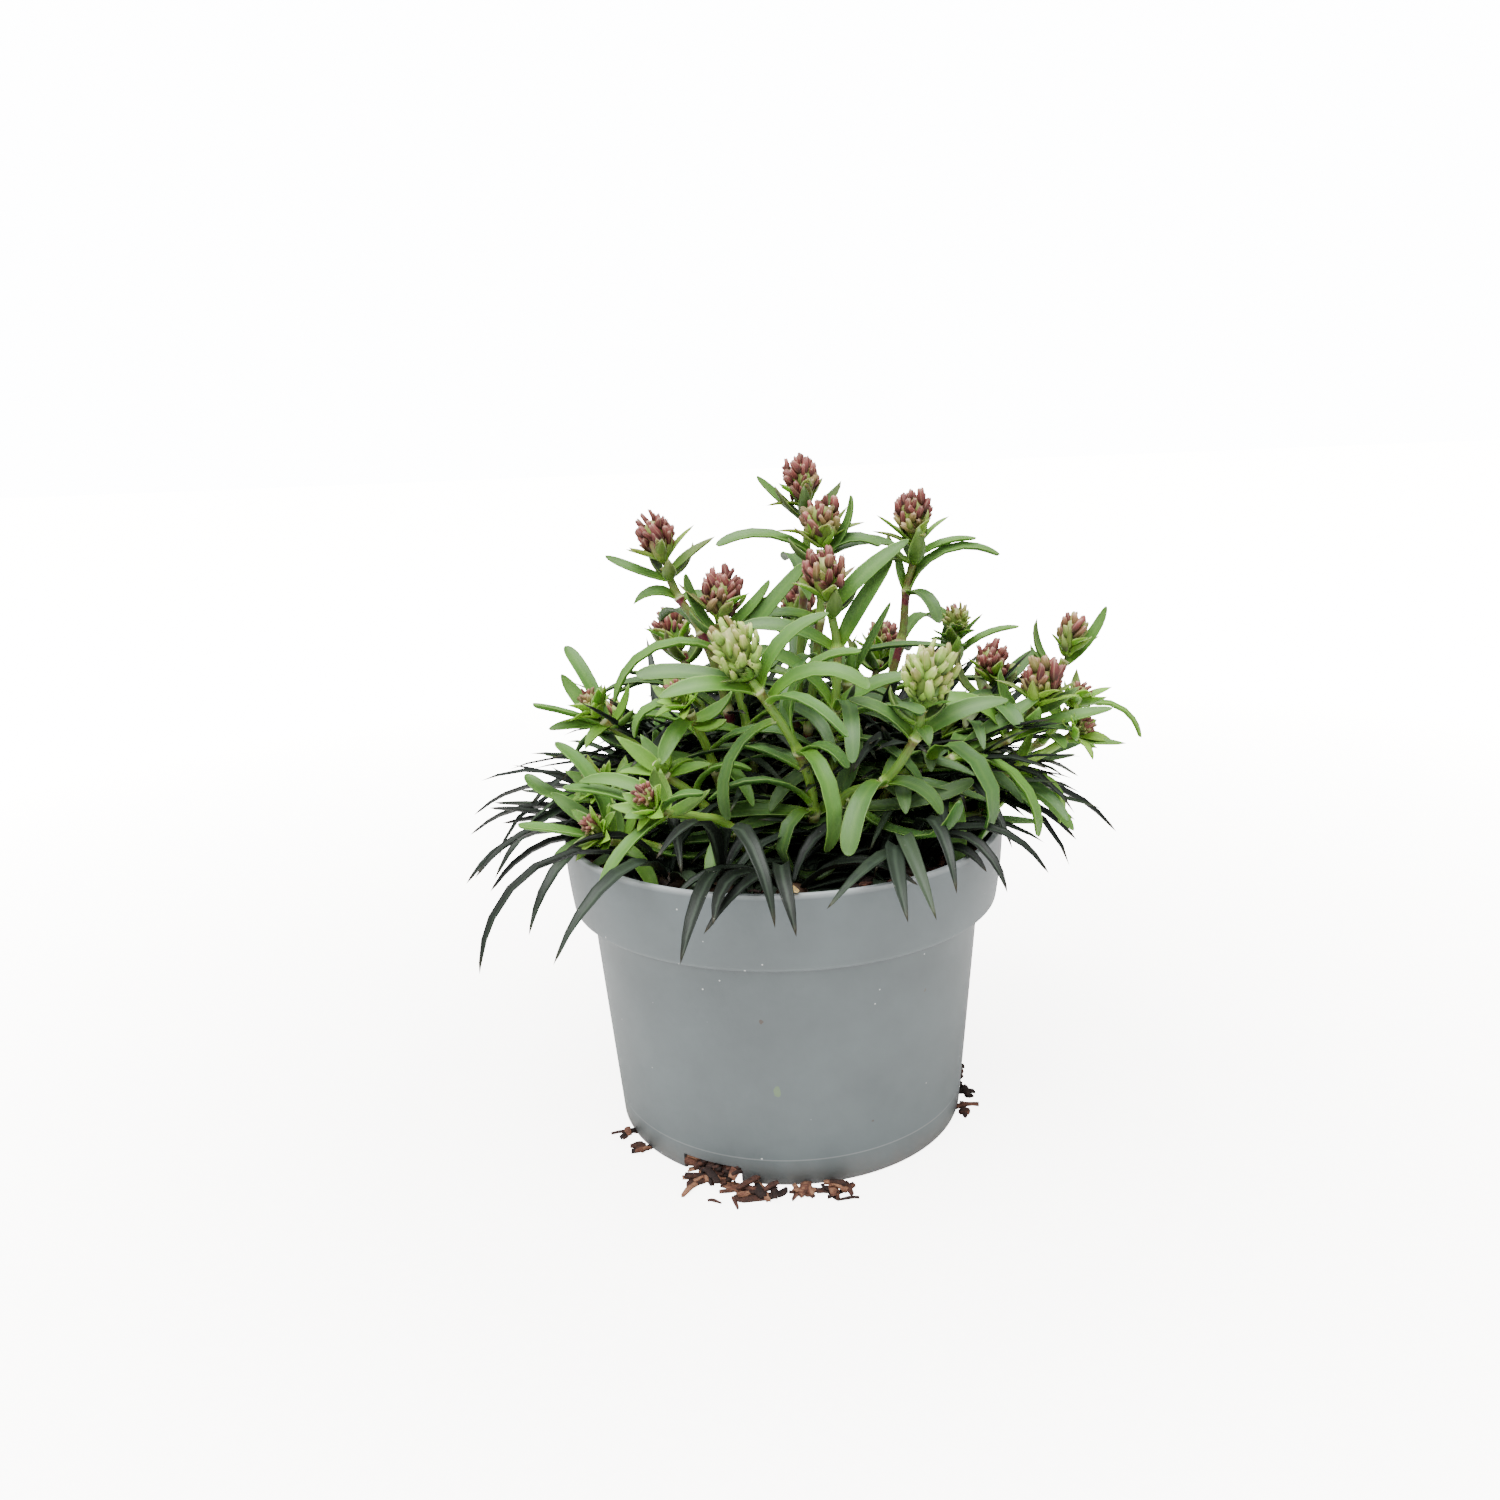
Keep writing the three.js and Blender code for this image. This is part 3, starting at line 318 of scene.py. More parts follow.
def fill_compost():
    bm = bmesh.new()
    tone = bm.verts.layers.float.new("tone")
    corners = [bm.verts.new((r, 0, z)) for r, z in soil_profile]
    rims = [bm.edges.new(pair) for pair in zip(corners, corners[1:])]
    bmesh.ops.spin(bm, geom=corners + rims, axis=(0, 0, 1), angle=2 * pi, steps=SOIL_STEPS, use_merge=True)
    bmesh.ops.remove_doubles(bm, verts=bm.verts, dist=0.001)
    bmesh.ops.recalc_face_normals(bm, faces=bm.faces)
    for vert in bm.verts:
        rough = noise.fractal(vert.co * 0.16, 0.7, 2.0, 4)
        vert[tone] = clamp(0.25 + 0.3 * rough)
        if vert.co.z > SOIL_TOP - 1:
            swell = SOIL_RELIEF * sin(vert.co.x * 0.37 + 1) * cos(vert.co.y * 0.41)
            vert.co.z += 0.5 * swell + 1.1 * rough
    for _ in range(TOP_FLAKES):
        out, turn = TOP_REACH * sqrt(random.random()), random.uniform(0, 2 * pi)
        height = SOIL_TOP + random.uniform(0.2, 2.2)
        add_flake(bm, (out * cos(turn), out * sin(turn), height), random.uniform(3.5, 9),
                  random.uniform(1.6, 4), 24)
    for centre in SLOT_TURNS:
        for _ in range(SLOT_FLAKES):
            turn = radians(centre + random.uniform(-9, 9))
            out = random.uniform(46.5, 53)
            middle = (out * cos(turn), out * sin(turn), random.uniform(0.05, 3))
            add_flake(bm, middle, random.uniform(4, 8), random.uniform(1.6, 3.2), 26, rests=True)
    for centre, out, count, scatter in HEAPS:
        for _ in range(count):
            along = random.uniform(-1, 1) * scatter
            outward = out + abs(random.gauss(0, 0.3)) * scatter
            turn = radians(centre) + along / out
            lift = random.random() ** 2 * HEAP_HEIGHT * (1 - abs(along) / scatter)
            middle = (outward * cos(turn), outward * sin(turn), lift)
            add_flake(bm, middle, random.uniform(3, 8.5), random.uniform(0.9, 2.8), 14, rests=True)
    for x, y, length, width, turn in STRANDS:
        add_flake(bm, (x, y, 0), length, width, 3, rests=True, turn=turn)
    return bm


# Composted pine bark: dark chocolate crumb with fibrous red-brown and tan faces where flakes have split.
bark, tree, shader = finish_of("composted_pine_bark", "#3c241a", Roughness=0.88)
place = node(tree, "TexCoord", out="Object")
shade = node(tree, "Attribute", {"attribute_name": "tone"}, out="Fac")
crumb = node(tree, "TexNoise", {"Scale": 1 / 0.0015, "Detail": 6, "Roughness": 0.7}, {"Vector": place})
fibre_place = node(tree, "Mapping", {"Scale": (1, 1, 5)}, {"Vector": place})
fibre = node(tree, "TexNoise", {"Scale": 1 / 0.0022, "Detail": 4}, {"Vector": fibre_place})
spread = node(tree, "Math", {"operation": "MULTIPLY_ADD", 1: 0.7, 2: -0.35}, {0: crumb})
streak = node(tree, "Math", {"operation": "MULTIPLY_ADD", 1: 0.5}, {0: fibre, 2: spread})
mixed = node(tree, "Math", {"operation": "MULTIPLY_ADD", 1: 0.75}, {0: shade, 2: streak})
bark_colour = node(
    tree, "ValToRGB",
    {"stops": (
        (0.12, "#120b09"), (0.45, "#2b1812"), (0.68, "#492a1f"), (0.86, "#6c4433"), (1.0, "#92694f"),
    )},
    {0: mixed},
)
dress(tree, shader, bark_colour, crumb, 0.7, 0.6)

set_down("compost", fill_compost(), [bark], "bark_compost", "soil")


# The dark tufts
# Evergreen leaves in dense tufts, each from a woody crown that is pressed into the compost. They are narrow,
# keeled and leathery, almost black, and they arch out over the rim or crowd upright between the stems.

ARC_STEPS = 24
KNOB_RADIUS = 4.6
DARK_SHORTEST, DARK_LONGEST, DARK_STEEP_EXTRA, DARK_WIDTH = 44, 60, 24, 4.6
# The crowns in front stand in the light, and their drawn blades stay shorter.
FRONT_BACK_TO, FRONT_SHARE = -20, 0.55

# A blade's rings: how many 24ths along it, and its width there as a share of its full width. The many drawn
# blades have few.
FEW_RINGS = ((0, 0), (1, 0.44), (5, 0.76), (10, 1), (15, 0.95), (19, 0.74), (22, 0.4), (24, 0))
DARK_RINGS = (
    (0, 0), (1, 0.42), (3, 0.6), (6, 0.84), (9, 0.98), (13, 1), (16, 0.92), (19, 0.74), (21, 0.52),
    (23, 0.22), (24, 0),
)

# The crowns: name, x, y, the number of drawn leaves and the turn that they spiral from.
crowns = (
    ("front", 2, -43, 3, 60), ("front_right", 36, -27, 3, 60), ("right", 44, 19, 9, 20),
    ("back_right", 36, 38, 9, 60), ("back", 9, 48, 10, 95), ("back_left", -24, 42, 10, 130),
    ("left", -42, 15, 8, 170), ("left_low", -43, -5, 6, 190), ("front_left", -32, -32, 3, 20),
    ("front_mid", -17, -41, 3, 80),
)
# Dark leaves that hang over the rim or reach past it, by crown: turn, rise, fall, length, width, face and
# sweep, as the leaves of the stems have them.
over_rim = {
    "front": (
        (258, 56, -46, 50, 4.4, 0, -34), (233, 50, -30, 52, 4.4, 0, 40), (246, 65, -73, 47, 4.4, 0, 39),
    ),
    "front_mid": (
        (277, 70, -39, 62, 4.4, 0, -28), (272, 58, -62, 55, 4.4, 0, -25), (283, 81, -93, 68, 5, 0, 11),
    ),
    "front_left": (
        (194, 65, -72, 73, 4.4, 0, 38), (263, 54, -60, 65, 4.4, 0, -39), (212, 73, -55, 36, 4.2, 0, -34),
    ),
    "left_low": ((197, 36, -70, 56, 4.4), (182, 30, -14, 44, 4.2), (210, 40, -62, 50, 4.2)),
    "left": ((188, 26, -4, 46, 4.4), (176, 34, -8, 40, 4.2), (200, 22, -18, 46, 4.2)),
    "front_right": (
        (260, 46, -30, 61, 4.4, 0, -34), (249, 46, -43, 67, 5, 0, 28), (250, 61, -49, 66, 4.4, 0, 39),
        (279, 84, -68, 57, 4.2), (311, 73, -69, 46, 4, 0, -10), (326, 67, -71, 49, 4.2, 0, 20),
    ),
    "right": (
        (322, 38, -60, 56, 4.4), (338, 32, -62, 50, 4.2), (354, 30, -50, 46, 4.2), (8, 40, -60, 46, 4),
    ),
}

# More blades of each tuft, drawn at random, and those that rise from the compost between the stems.
INNER_BLADES = 48
MIDDLE_BLADES, MIDDLE_ROOTS = 230, 44
BACK_BLADES = 90
RIGHT_BLADES = 60
# How far round its crown a tuft's drawn blades root, and a blade's hollow and keel.
CROWN_SPREAD = 9
DARK_GUTTER, DRAWN_GUTTER, DARK_KEEL = 0.9, 0.8, 0.6
# How far out the open compost reaches, the room that a leaf leaves round the lip, and how low it may hang.
SOIL_REACH, LIP_ROOM, LOWEST_LEAF = 55, 2.5, 68
# How far from the middle drawn blades may root, and may reach in front and at the left, and elsewhere.
ROOTS_REACH, NEAR_REACH, FAR_REACH = 54, 76, 96
# The large green leaves in front hang freely, and what grows beneath them keeps behind this y.
FRONT_LEAVES_AT = -34
# The young rosettes at the left stand free, and the blades behind them keep behind this y.
LEFT_LEAVES_AT = -16
# The curled leaf in front hangs free: x of its middle, half its room's width, and how far back that goes.
CURL_X, CURL_ROOM, CURL_BACK = 8, 20, -36
# Blades that gave way to it, by crown and row: degrees of turn.
GAVE_WAY = {("front_mid", 5): 30}


def seeded(seed):
    """The same run of numbers between 0 and 1 for the same seed."""
    state = seed
    while True:
        state = (state * 1664525 + 1013904223) % 4294967296
        yield state / 4294967296


def leaf_line(root, row):
    """A leaf's arc: for a ring, the point, the direction across the blade and that out of its upper side.
    Fall is the slope at the tip, face rolls the blade towards the front and sweep swings its turn round."""
    turn, rise, fall, length, _, face, sweep = (*row, 0, 0)[:7]

    def heading(share):
        angle = radians(turn + sweep * share)
        slope = radians(rise + (fall - rise) * share)
        along = Vector((cos(angle) * cos(slope), sin(angle) * cos(slope), sin(slope)))
        return along, Vector((-sin(angle), cos(angle), 0))

    points = [Vector(root)]
    for i in range(ARC_STEPS):
        points.append(points[i] + heading((i + 0.5) / ARC_STEPS)[0] * (length / ARC_STEPS))
    roll = radians(face) * (1 if cos(radians(turn)) < 0 else -1)

    def at(ring, twist=0):
        along, across = heading(ring / ARC_STEPS)
        upright = along.cross(across)
        angle = roll + twist
        side = across * cos(angle) - upright * sin(angle)
        whole = min(int(ring), ARC_STEPS - 1)
        point = points[whole].lerp(points[whole + 1], ring - whole)
        return point, side, upright * cos(angle) + across * sin(angle)

    return at


def leaf_tip(root, row):
    return leaf_line(root, row)(ARC_STEPS)[0]


# How near a packed leaf's tip has to be, and the ways in which a leaf gave way to its neighbours, the
# gentlest first: degrees of turn and rise, and share of its length.
TIP_NEAR = 0.05
BENDS = [
    way for share in (1, 0.8) for way in sorted(
        ((turn, rise, share) for turn in range(-36, 37, 6) for rise in range(-24, 25, 6)),
        key=lambda way: hypot(way[0], way[1] * 1.1),
    )
]


def corners_of(name):
    """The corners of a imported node, in millimetres, to be asked for the nearest one."""
    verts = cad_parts[name].data.vertices
    corners = kdtree.KDTree(len(verts))
    for i, vert in enumerate(verts):
        corners.insert(vert.co / MM, i)
    corners.balance()
    return corners


def as_grown(root, row, corners):
    """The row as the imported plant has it, bent clear of its neighbours, or None where there was no room."""
    turn, rise, fall, length, *others = row
    for more_turn, more_rise, share in BENDS:
        way = [turn + more_turn, rise + more_rise, fall + more_rise, length * share, *others]
        if corners.find(leaf_tip(root, way))[2] < TIP_NEAR:
            return way
    return None


def new_leaves():
    bm = bmesh.new()
    bm.loops.layers.uv.new("UVMap")
    bm.verts.layers.float.new("tone")
    bm.verts.layers.float.new("blush")
    return bm


def finish_part(piece, bm, finish):
    """Closes the seam and the ends of a part, gives it one of its piece's finishes and joins it in."""
    bmesh.ops.remove_doubles(bm, verts=bm.verts, dist=0.01)
    for face in bm.faces:
        face.material_index = finish
    join_in(piece, bm)


def add_blade(
    piece, root, row, rings, gutter, keel, tone, blush=0, columns=8, twist=0, finish=0, soft=False,
):
    """A closed blade on a leaf's arc: its upper side is hollowed by gutter, its lower side stands out by
    keel, sharp on a leathery leaf and rounded on a soft one. The mesh is a grid whose first direction runs
    once round the blade."""
    bm = new_leaves()
    line = leaf_line(root, row)
    half = row[4] / 2
    tones, blushes = bm.verts.layers.float["tone"], bm.verts.layers.float["blush"]
    made = bmesh.ops.create_grid(
        bm, x_segments=columns, y_segments=len(rings) - 1, size=0.5, calc_uvs=True,
    )["verts"]
    for vert in made:
        around = 2 * pi * (vert.co.x + 0.5)
        step = round((vert.co.y + 0.5) * (len(rings) - 1))
        ring, width = rings[step]
        point, side, up = line(ring, twist * sin(ring / 6 + tone * 9))
        across = cos(around)
        root_fold = 1 + 0.9 * (1 - ring / ARC_STEPS) ** 3
        fold = 1 - across * across if soft else 1 - abs(across)
        lift = -gutter * root_fold * fold * sqrt(width)
        if around > pi:
            belly = sqrt(max(1 - across * across, 0)) if soft else (1 - abs(across)) ** 0.8
            lift -= keel * belly * sqrt(width)
        vert.co = point + side * across * half * width + up * lift
        vert[tones] = tone
        vert[blushes] = blush
    finish_part(piece, bm, finish)


def add_drawn_blade(piece, root, row):
    tone = random.random()
    add_blade(piece, root, row, FEW_RINGS, DRAWN_GUTTER, DARK_KEEL, tone, columns=6, twist=0.2)


def clears_pot(root, row, furthest):
    """Whether a leaf passes over the lip, or stays within the pot, and ends no further out than it may."""
    line = leaf_line(root, row)
    for ring in range(1, ARC_STEPS + 1):
        point = line(ring)[0]
        out = hypot(point.x, point.y)
        at_lip = SOIL_REACH < out < RIM_RADIUS + LIP_ROOM and point.z < POT_HEIGHT + LIP_ROOM
        if at_lip or point.z < LOWEST_LEAF or out > furthest:
            return False
    return True


def keeps_behind(root, row, y):
    """Whether no part of a leaf comes further forward than y."""
    line = leaf_line(root, row)
    return all(line(ring)[0].y > y for ring in range(ARC_STEPS + 1))


def leaves_room(root, row):
    """Whether a leaf passes clear of the curled leaf in front."""
    line = leaf_line(root, row)
    points = [line(ring)[0] for ring in range(ARC_STEPS + 1)]
    return not any(abs(p.x - CURL_X) < CURL_ROOM and p.y < CURL_BACK and p.z > SOIL_TOP + 4 for p in points)


def crown_rows(name, x, y, count, first):
    """A crown's packed leaves: those over the rim, then drawn ones."""
    draw = seeded(101 + int((x * 7 + y) // 1))
    rows = [list(row) for row in over_rim.get(name, ())]
    for i in range(count):
        turn = (first + i * 137.5) % 360
        outward = cos(radians(turn) - atan2(y, x))
        steep = min(0.55 - outward * 0.4 + next(draw) * 0.2, 1)
        fall = -62 - 22 * next(draw) + 36 * steep
        share = FRONT_SHARE if y < FRONT_BACK_TO else 1
        length = DARK_SHORTEST + (DARK_LONGEST - DARK_SHORTEST) * next(draw) + DARK_STEEP_EXTRA * steep
        width = DARK_WIDTH * (0.85 + next(draw) * 0.3)
        rows.append([turn, 28 + 54 * steep, fall, share * length, width, 0, next(draw) * 30 - 15])
    return rows


def crown_root(x, y, row):
    out = KNOB_RADIUS * 0.8 * cos(radians(row[1]))
    turn = radians(row[0])
    height = SOIL_TOP + SOIL_RELIEF + 2 + KNOB_RADIUS * 0.45 * row[1] / 90
    return Vector((x + cos(turn) * out, y + sin(turn) * out, height))


def add_knob(bm, x, y):
    """The woody crown, a low rounded knob in the compost."""
    made = bmesh.ops.create_uvsphere(
        bm, u_segments=12, v_segments=8, radius=KNOB_RADIUS, calc_uvs=True,
    )["verts"]
    for vert in made:
        vert.co *= 1 + 0.12 * noise.noise(vert.co * 0.5 + Vector((x, y, 0)))
        vert.co.z *= 0.72
        vert[bm.verts.layers.float["tone"]] = 0.1
        vert[bm.verts.layers.float["blush"]] = 0.8
    bmesh.ops.translate(bm, verts=made, vec=(x, y, SOIL_TOP + 2.6))


def read_plant(tree):
    """What a plant's material reads: place, UV map, the way round and outward, tone and blush."""
    along = node(tree, "UVMap")
    return (
        node(tree, "TexCoord", out="Object"), along,
        *(node(tree, "SeparateXYZ", links={0: along}, out=axis) for axis in "XY"),
        *(node(tree, "Attribute", {"attribute_name": name}, out="Fac") for name in ("tone", "blush")),
    )


def off_keel(tree, around, keels):
    """How far round a part a point is from its nearest keel, as a share of the way between two keels."""
    steps = node(tree, "Math", {"operation": "MULTIPLY", 1: keels}, {0: around})
    step = node(tree, "Math", {"operation": "FRACT"}, {0: steps})
    centred = node(tree, "Math", {"operation": "SUBTRACT", 1: 0.5}, {0: step})
    return node(tree, "Math", {"operation": "ABSOLUTE"}, {0: centred})


# Leathery evergreen leaves: blackish green under a waxy skin that shows soft grey highlights, a paler line
# along the keel, brown towards some tips, and a little dried dust.
dark_leaf, tree, shader = finish_of("leathery_dark_leaf", "#1b231d", Roughness=0.48, IOR=1.32)
place, along, around, outward, shade, blush = read_plant(tree)
mottle = node(tree, "TexNoise", {"Scale": 1 / 0.006, "Detail": 4}, {"Vector": place})
shade_mix = node(tree, "Math", {"operation": "MULTIPLY_ADD", 1: 0.35}, {0: mottle, 2: shade})
skin = node(
    tree, "ValToRGB",
    {"stops": ((0.15, "#0c110c"), (0.5, "#151c15"), (0.85, "#1f291f"), (1.0, "#303d2b"))}, {0: shade_mix},
)
from_rib = off_keel(tree, around, 2)
rib = node(
    tree, "MapRange", {"From Min": 0.03, "From Max": 0.11, "To Min": 0.4, "To Max": 0.0},
    {"Value": from_rib},
)
brown_tip = node(tree, "MapRange", {"From Min": 0.86, "From Max": 1.0, "To Max": 0.55}, {"Value": outward})
brown_some = node(tree, "Math", {"operation": "MULTIPLY"}, {0: brown_tip, 1: mottle})
dust_cells = node(tree, "TexVoronoi", {"Scale": 1 / 0.003}, {"Vector": place})
dust = node(
    tree, "MapRange", {"From Min": 0.04, "From Max": 0.07, "To Min": 0.5, "To Max": 0.0},
    {"Value": dust_cells},
)
for colour, mask in (("#3d4a3c", rib), ("#6b5a40", brown_some), ("#3b2a1f", blush), ("#8d8f84", dust)):
    skin = node(tree, "Mix", {"data_type": "RGBA", 7: linear(colour)}, {0: mask, 6: skin}, 2)
furrow_place = node(tree, "Mapping", {"Scale": (60, 2, 1)}, {"Vector": along})
furrow = node(tree, "TexNoise", {"Scale": 1.0, "Detail": 3}, {"Vector": furrow_place})
dress(tree, shader, skin, furrow, 0.35)

for name, x, y, count, first in crowns:
    random.seed("tuft " + name)
    corners = corners_of("crown_" + name)
    bm = new_leaves()
    add_knob(bm, x, y)
    for i, row in enumerate(crown_rows(name, x, y, count, first)):
        grown = as_grown(crown_root(x, y, row), row, corners)
        if grown:
            grown[0] += GAVE_WAY.get((name, i), 0)
            add_blade(
                bm, crown_root(x, y, row), grown, DARK_RINGS, DARK_GUTTER, DARK_KEEL, random.random(),
                twist=0.15,
            )
    in_front, at_left = y < FRONT_BACK_TO, x < -40
    extra = 0
    while extra < INNER_BLADES:
        turn = random.uniform(0, 360)
        outward = cos(radians(turn) - atan2(y, x))
        steep = min(max(0.55 - outward * 0.34 + random.uniform(-0.15, 0.3), 0.1), 1)
        tall = 0.5 + 0.5 * clamp((y + 45) / 60)
        row = [
            turn, (16 + 62 * steep) * tall, random.uniform(-75, -25) + 30 * steep,
            (random.uniform(38, 58) + 28 * steep) * tall,
            DARK_WIDTH * random.uniform(0.7, 1), 0, random.uniform(-25, 25),
        ]
        aside, back = (random.uniform(-CROWN_SPREAD, CROWN_SPREAD) for _ in range(2))
        root = Vector((x + aside, y + back, SOIL_TOP))
        if hypot(root.x, root.y) > ROOTS_REACH:
            root *= ROOTS_REACH / hypot(root.x, root.y)
            root.z = SOIL_TOP
        # In front the blades lie low, or keep behind the large green leaves that hang there.
        low = in_front and extra % 2
        if low:
            row[1:4] = random.uniform(10, 62), random.uniform(-60, 0), random.uniform(18, 34)
        elif in_front:
            root.y += CROWN_SPREAD
        fits = clears_pot(root, row, NEAR_REACH if in_front or at_left else FAR_REACH)
        if low:
            fits = fits and leaves_room(root, row)
        elif in_front:
            fits = fits and keeps_behind(root, row, FRONT_LEAVES_AT)
        elif at_left:
            fits = fits and keeps_behind(root, row, LEFT_LEAVES_AT)
        if not fits:
            continue
        extra += 1
        add_drawn_blade(bm, root, row)
    set_down("tuft_" + name, bm, [dark_leaf], "dark_leaf", "crown_" + name)

# The blades of the middle have no crown of their own: they stand between the stems.
MIDDLE_REACH = 92
random.seed("tuft middle")
bm = new_leaves()
for _ in range(MIDDLE_BLADES):
    out, turn = MIDDLE_ROOTS * sqrt(random.random()), random.uniform(0, 360)
    root = Vector((out * cos(radians(turn)), out * sin(radians(turn)), SOIL_TOP))
    tall = 0.48 + 0.62 * clamp((root.y + 40) / 55)
    row = [
        turn + random.uniform(-70, 70), random.uniform(35, 85), random.uniform(-80, 10),
        random.uniform(44, 76) * tall, DARK_WIDTH * random.uniform(0.7, 1), 0, random.uniform(-40, 40),
    ]
    if clears_pot(root, row, MIDDLE_REACH) and keeps_behind(root, row, FRONT_LEAVES_AT):
        add_drawn_blade(bm, root, row)
# The tallest of them stand at the back, where the stems leave room, and the last lean out to the right.
for i in range(BACK_BLADES + RIGHT_BLADES):
    leans = i >= BACK_BLADES
    left, front = (28, -6) if leans else (-42, 2)
    root = Vector((random.uniform(left, 48), random.uniform(front, 40), SOIL_TOP))
    row = [
        random.uniform(-50, 50) if leans else random.uniform(0, 360), random.uniform(62, 88),
        random.uniform(-50, 45), random.uniform(52, 70 if leans else 78),
        DARK_WIDTH * random.uniform(0.75, 1), 0, random.uniform(-40, 40),
    ]
    if clears_pot(root, row, MIDDLE_REACH - 2):
        add_drawn_blade(bm, root, row)
set_down("tuft_middle", bm, [dark_leaf], "dark_leaf")


# The leafy stems
# Soft green shoots, each grown from the rootstock in the compost: a juicy round stem with swollen joints,
# flushed purple below some of them, and thick strap leaves in pairs. Pointed bracts stand under the heads.

STEM_RADIUS = 1.4
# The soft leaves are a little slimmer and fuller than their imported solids.
SLIMNESS, LEAF_KEEL = 0.9, 1.2
# Their hollow, as a share of the width.
LEAF_GUTTER = 0.09
BRACT_DROP_LEAST, BRACT_DROP_SPREAD = 1.9, 1.8

STRAP_RINGS = (
    (0, 0), (0.5, 0.55), (1.5, 0.64), (3, 0.72), (5, 0.82), (8, 0.93), (12, 1), (16, 1), (19, 0.97),
    (21, 0.9), (22.3, 0.76), (23.2, 0.56), (23.7, 0.34), (24, 0),
)
SHORT_RINGS = (
    (0, 0), (0.6, 0.56), (2, 0.68), (4, 0.8), (7, 0.93), (11, 1), (15, 0.97), (18, 0.87), (20.5, 0.7),
    (22.5, 0.44), (23.5, 0.22), (24, 0),
)
BRACT_RINGS = ((0, 0), (1, 0.5), (4, 0.76), (8, 0.97), (11, 1), (14, 0.9), (18, 0.64), (21, 0.36), (24, 0))

